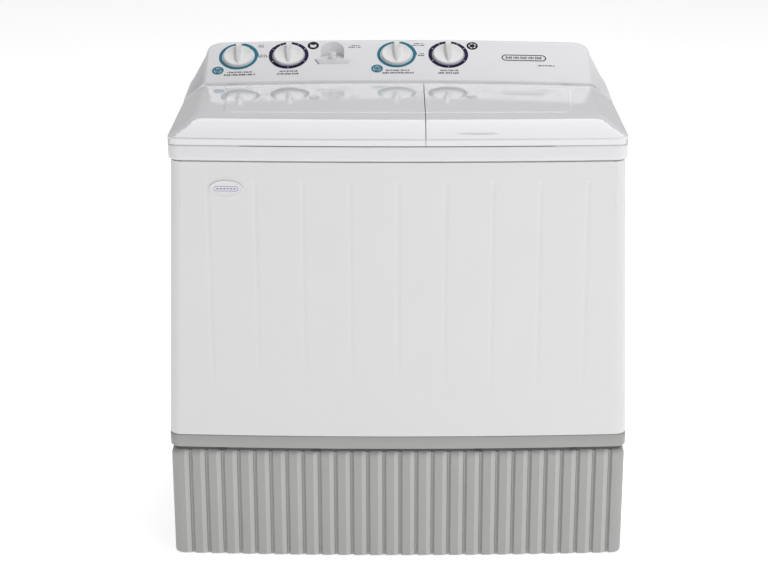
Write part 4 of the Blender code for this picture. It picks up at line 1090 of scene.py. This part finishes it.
# ---------------------------------------------------------------- basket and rear fittings
def build_basket():
    """The spin basket with its perforated wall and rolled rim."""
    low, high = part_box("spin_basket")
    axis = middle("spin_basket")[:2]
    radius, floor, top = half_size("spin_basket")[0], low.z, high.z
    bore = half_size("spin_shaft")[0] + 0.0003
    wall = 0.0016
    profile = [(bore, floor), (radius * 0.55, floor)]
    profile += [(radius - inset, floor + rise) for inset, rise in (
        (0.02, 0.002), (0.006, 0.01), (0.001, 0.026), (0, 0.045))]
    profile += [(radius - inset, top - drop) for inset, drop in (
        (0, 0.004), (0.0006, 0.001), (0.0025, 0), (0.006, 0.0002), (0.009, 0.0022), (0.009, 0.0042),
        (wall + 0.001, 0.01))]
    profile += [(radius - inset, floor + rise) for inset, rise in (
        (wall, 0.045), (wall + 0.001, 0.027), (0.0075, 0.0115), (0.02, 0.0045))]
    profile += [(radius * 0.55, floor + 0.003)]
    profile += [(at, floor + rise) for at, rise in (
        (0.034, 0.0035), (0.028, 0.018), (0.022, 0.023), (bore, 0.0235))]
    basket = from_mesh("perforated_basket", turned(profile, axis, 72, True), "basket", 30)
    holes = bmesh.new()
    for row in range(8):
        z = mix(floor + 0.06, top - 0.035, row / 7)
        for i in range(18):
            angle = math.tau * (i + 0.5 * (row % 2)) / 18
            place = Matrix.Translation((*axis, z)) @ Matrix.Rotation(angle, 4, "Z")
            place = place @ Matrix.Translation((radius - 0.003, 0, 0)) @ Matrix.Rotation(math.pi / 2, 4, "Y")
            bmesh.ops.create_cone(holes, cap_ends=True, segments=12, radius1=0.0032, radius2=0.0032,
                                  depth=0.012, matrix=place)
    cut(basket, holes)
    fit(basket, "spin_rotor", "steel", "spin_basket")


SCREW_RADIUS = 0.0038


def screw(x, z, y):
    """A pan-head screw with a crossed slot, on a face that looks along +Y."""
    profile = [(SCREW_RADIUS * share, out) for share, out in (
        (0.98, 0), (1, 0.0004), (0.86, 0.0014), (0.45, 0.002))]
    low, high = (-SCREW_RADIUS * 0.6, -0.00035, 0.0014), (SCREW_RADIUS * 0.6, 0.00035, 0.0023)
    arms = [rounded_box(low, high, 0.0001, 0.00008) for _ in range(2)]
    placed(arms[1], Matrix.Rotation(math.pi / 2, 4, "Z"))
    place = Matrix.Translation((x, y, z)) @ Matrix.Rotation(-math.pi / 2, 4, "X")
    return placed(turned(profile + [(0.0002, 0.0021)], sides=24), place), placed(merged(arms), place)


def build_screws():
    cover_low, cover_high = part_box("rear_cover")
    y = cover_high.y - 0.0002
    rows = (cover_low.z + 0.012, cover_high.z - 0.012)
    spots = [(x, z, y) for x in (-0.36, -0.12, 0.12, 0.36) for z in rows]
    spots += [(side * 0.368, (cover_low.z + cover_high.z) / 2, y) for side in (-1, 1)]
    panel_z = middle("console_rear_panel")[2]
    panel_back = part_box("console_rear_panel")[1].y - 0.0002
    spots += [(x, panel_z, panel_back) for x in (-0.355, 0.0, 0.355)]
    pairs = [screw(*spot) for spot in spots]
    add("rear_screw_heads", [head for head, _ in pairs], "alloy", "steel")
    add("rear_screw_slots", [slots for _, slots in pairs], "dark", "dark_plastic")


# ---------------------------------------------------------------- carried-over CAD nodes
SOFT_NODES = {
    "lint_filter": 0.002, "filter_channel": 0.0008, "spin_safety_cover": 0.0008, "rear_cover": 0.0006,
    "console_rear_panel": 0.0005, "cord_gland": 0.0008, "drain_outlet": 0.0006, "wash_motor": 0.002,
    "spin_motor": 0.002, "gearbox": 0.0015,
}
NODE_LOOKS = {
    "rear_cover": "panel", "console_rear_panel": "panel", "cord_gland": "dark", "drain_outlet": "dark",
    "wash_tub": "tub", "filter_channel": "tub", "spin_tub": "tub", "spin_safety_cover": "cover",
    "lint_filter": "blue", "pulsator": "blue", "spin_bellows": "bellows", "motor_capacitor": "alloy",
    "wash_drive_belt": "rubber", "drain_plunger": "rubber", "gearbox_pulley": "dark",
}
NODE_FAMILIES = (
    ("rubber", ("foot_",)),
    ("steel", ("rod", "shaft", "spring", "basket", "lever", "brake_pivot", "motor_bracket")),
    ("alloy", ("gearbox", "wash_motor", "spin_motor", "brake_drum")),
    ("dark", ("bracket", "pivot", "switch", "timer", "linkage", "valve", "pulley")),
)


def node_look(name):
    """A CAD node's finish: its own, or else that of the first family with a word of its name."""
    families = [look for look, words in NODE_FAMILIES if any(word in name for word in words)]
    return NODE_LOOKS.get(name) or (families + ["gloss"])[0]


def dress_nodes():
    for name, obj in NODES.items():
        look = LOOKS[node_look(name)]
        if not obj.material_slots:
            obj.data.materials.append(look)
        for material_slot in obj.material_slots:
            material_slot.material = look
        if name in SOFT_NODES:
            soften(obj, SOFT_NODES[name], 2)


# ---------------------------------------------------------------- stage, lights, camera
HORIZON_LIGHT, ZENITH_LIGHT, REAR_GLOW = 0.48, 0.22, 0.16
FLOOR_GLOW = 0.61
LIGHT_AIM = Vector((0, 0, 0.6))
LIGHTS = {
    "key_right": ((2.3, -3.0, 2.5), (1.6, 1.6), 22),
    "fill_front": ((-0.4, -4.4, 1.7), (5.0, 2.6), 25),
    "side_right": ((3.2, -0.6, 2.4), (1.6, 1.6), 13),
    "overhead": ((1.7, -0.1, 4.2), (2.2, 2.2), 23),
    "overhead_rear": ((0.35, 2.2, 4.4), (3.2, 2.0), 54),
}
CAMERA_PLACE, CAMERA_DIP = (0, FRONT - 3.5, 1.74055), 0.318554
LENS, SHIFT_X, SHIFT_Y = 90.85, -0.01823, -0.0122


def area_light(name, place, size, power):
    data = bpy.data.lights.new(name, "AREA")
    data.shape = "RECTANGLE"
    data.size, data.size_y = size
    data.energy = power
    made = bpy.data.objects.new(name, data)
    made.location = place
    made.rotation_euler = (LIGHT_AIM - Vector(place)).to_track_quat("-Z", "Y").to_euler()
    bpy.context.scene.collection.objects.link(made)


def build_stage():
    floor_mesh = bmesh.new()
    bmesh.ops.create_grid(floor_mesh, x_segments=2, y_segments=2, size=30)
    floor = from_mesh("studio_floor", floor_mesh, None)
    look = surface("floor_pale", (0.93, 0.93, 0.93), 0.8, 0.004, 0.05, 40, 0.00005)
    shader = look.node_tree.nodes["Principled BSDF"]
    shader.inputs["Specular IOR Level"].default_value = 0.1
    shader.inputs["Emission Color"].default_value = (1, 1, 1, 1)
    shader.inputs["Emission Strength"].default_value = FLOOR_GLOW
    floor.data.materials.append(look)
    world = bpy.data.worlds.new("studio")
    world.use_nodes = True
    tree = world.node_tree
    direction = node(tree, "ShaderNodeTexCoord").outputs["Generated"]
    split = node(tree, "ShaderNodeSeparateXYZ")
    tree.links.new(direction, split.inputs[0])
    height = ramp(tree, split.outputs["Z"], HORIZON_LIGHT, ZENITH_LIGHT, 0.05, 0.75)
    total = node(tree, "ShaderNodeMath", operation="MULTIPLY_ADD")
    tree.links.new(ramp(tree, split.outputs["Y"], 0.0, REAR_GLOW, 0.3, 0.9), total.inputs[0])
    tree.links.new(ramp(tree, split.outputs["Z"], 0.0, 1.0, 0.12, 0.24), total.inputs[1])
    tree.links.new(height, total.inputs[2])
    tree.links.new(total.outputs[0], tree.nodes["Background"].inputs["Strength"])
    tree.nodes["Background"].inputs["Color"].default_value = (1, 1, 1, 1)
    bpy.context.scene.world = world
    for name, setting in LIGHTS.items():
        area_light(name, *setting)
    data = bpy.data.cameras.new("camera")
    data.sensor_width = 36
    data.lens, data.shift_x, data.shift_y = LENS, SHIFT_X, SHIFT_Y
    data.clip_start, data.clip_end = 0.05, 100
    camera = bpy.data.objects.new("camera", data)
    camera.location = CAMERA_PLACE
    camera.rotation_euler = (math.pi / 2 - CAMERA_DIP, 0, 0)
    bpy.context.scene.collection.objects.link(camera)
    bpy.context.scene.camera = camera
    bpy.context.scene.view_settings.view_transform = "Standard"
    bpy.context.scene.view_settings.look = "None"


build_stage()
dress_nodes()
build_base()
build_cabinet()
build_deck()
build_lid("wash", -1)
build_lid("spin", 1)
build_console()
for knob_name in KNOBS:
    build_knob(knob_name)
build_prints()
build_badge()
build_basket()
build_screws()
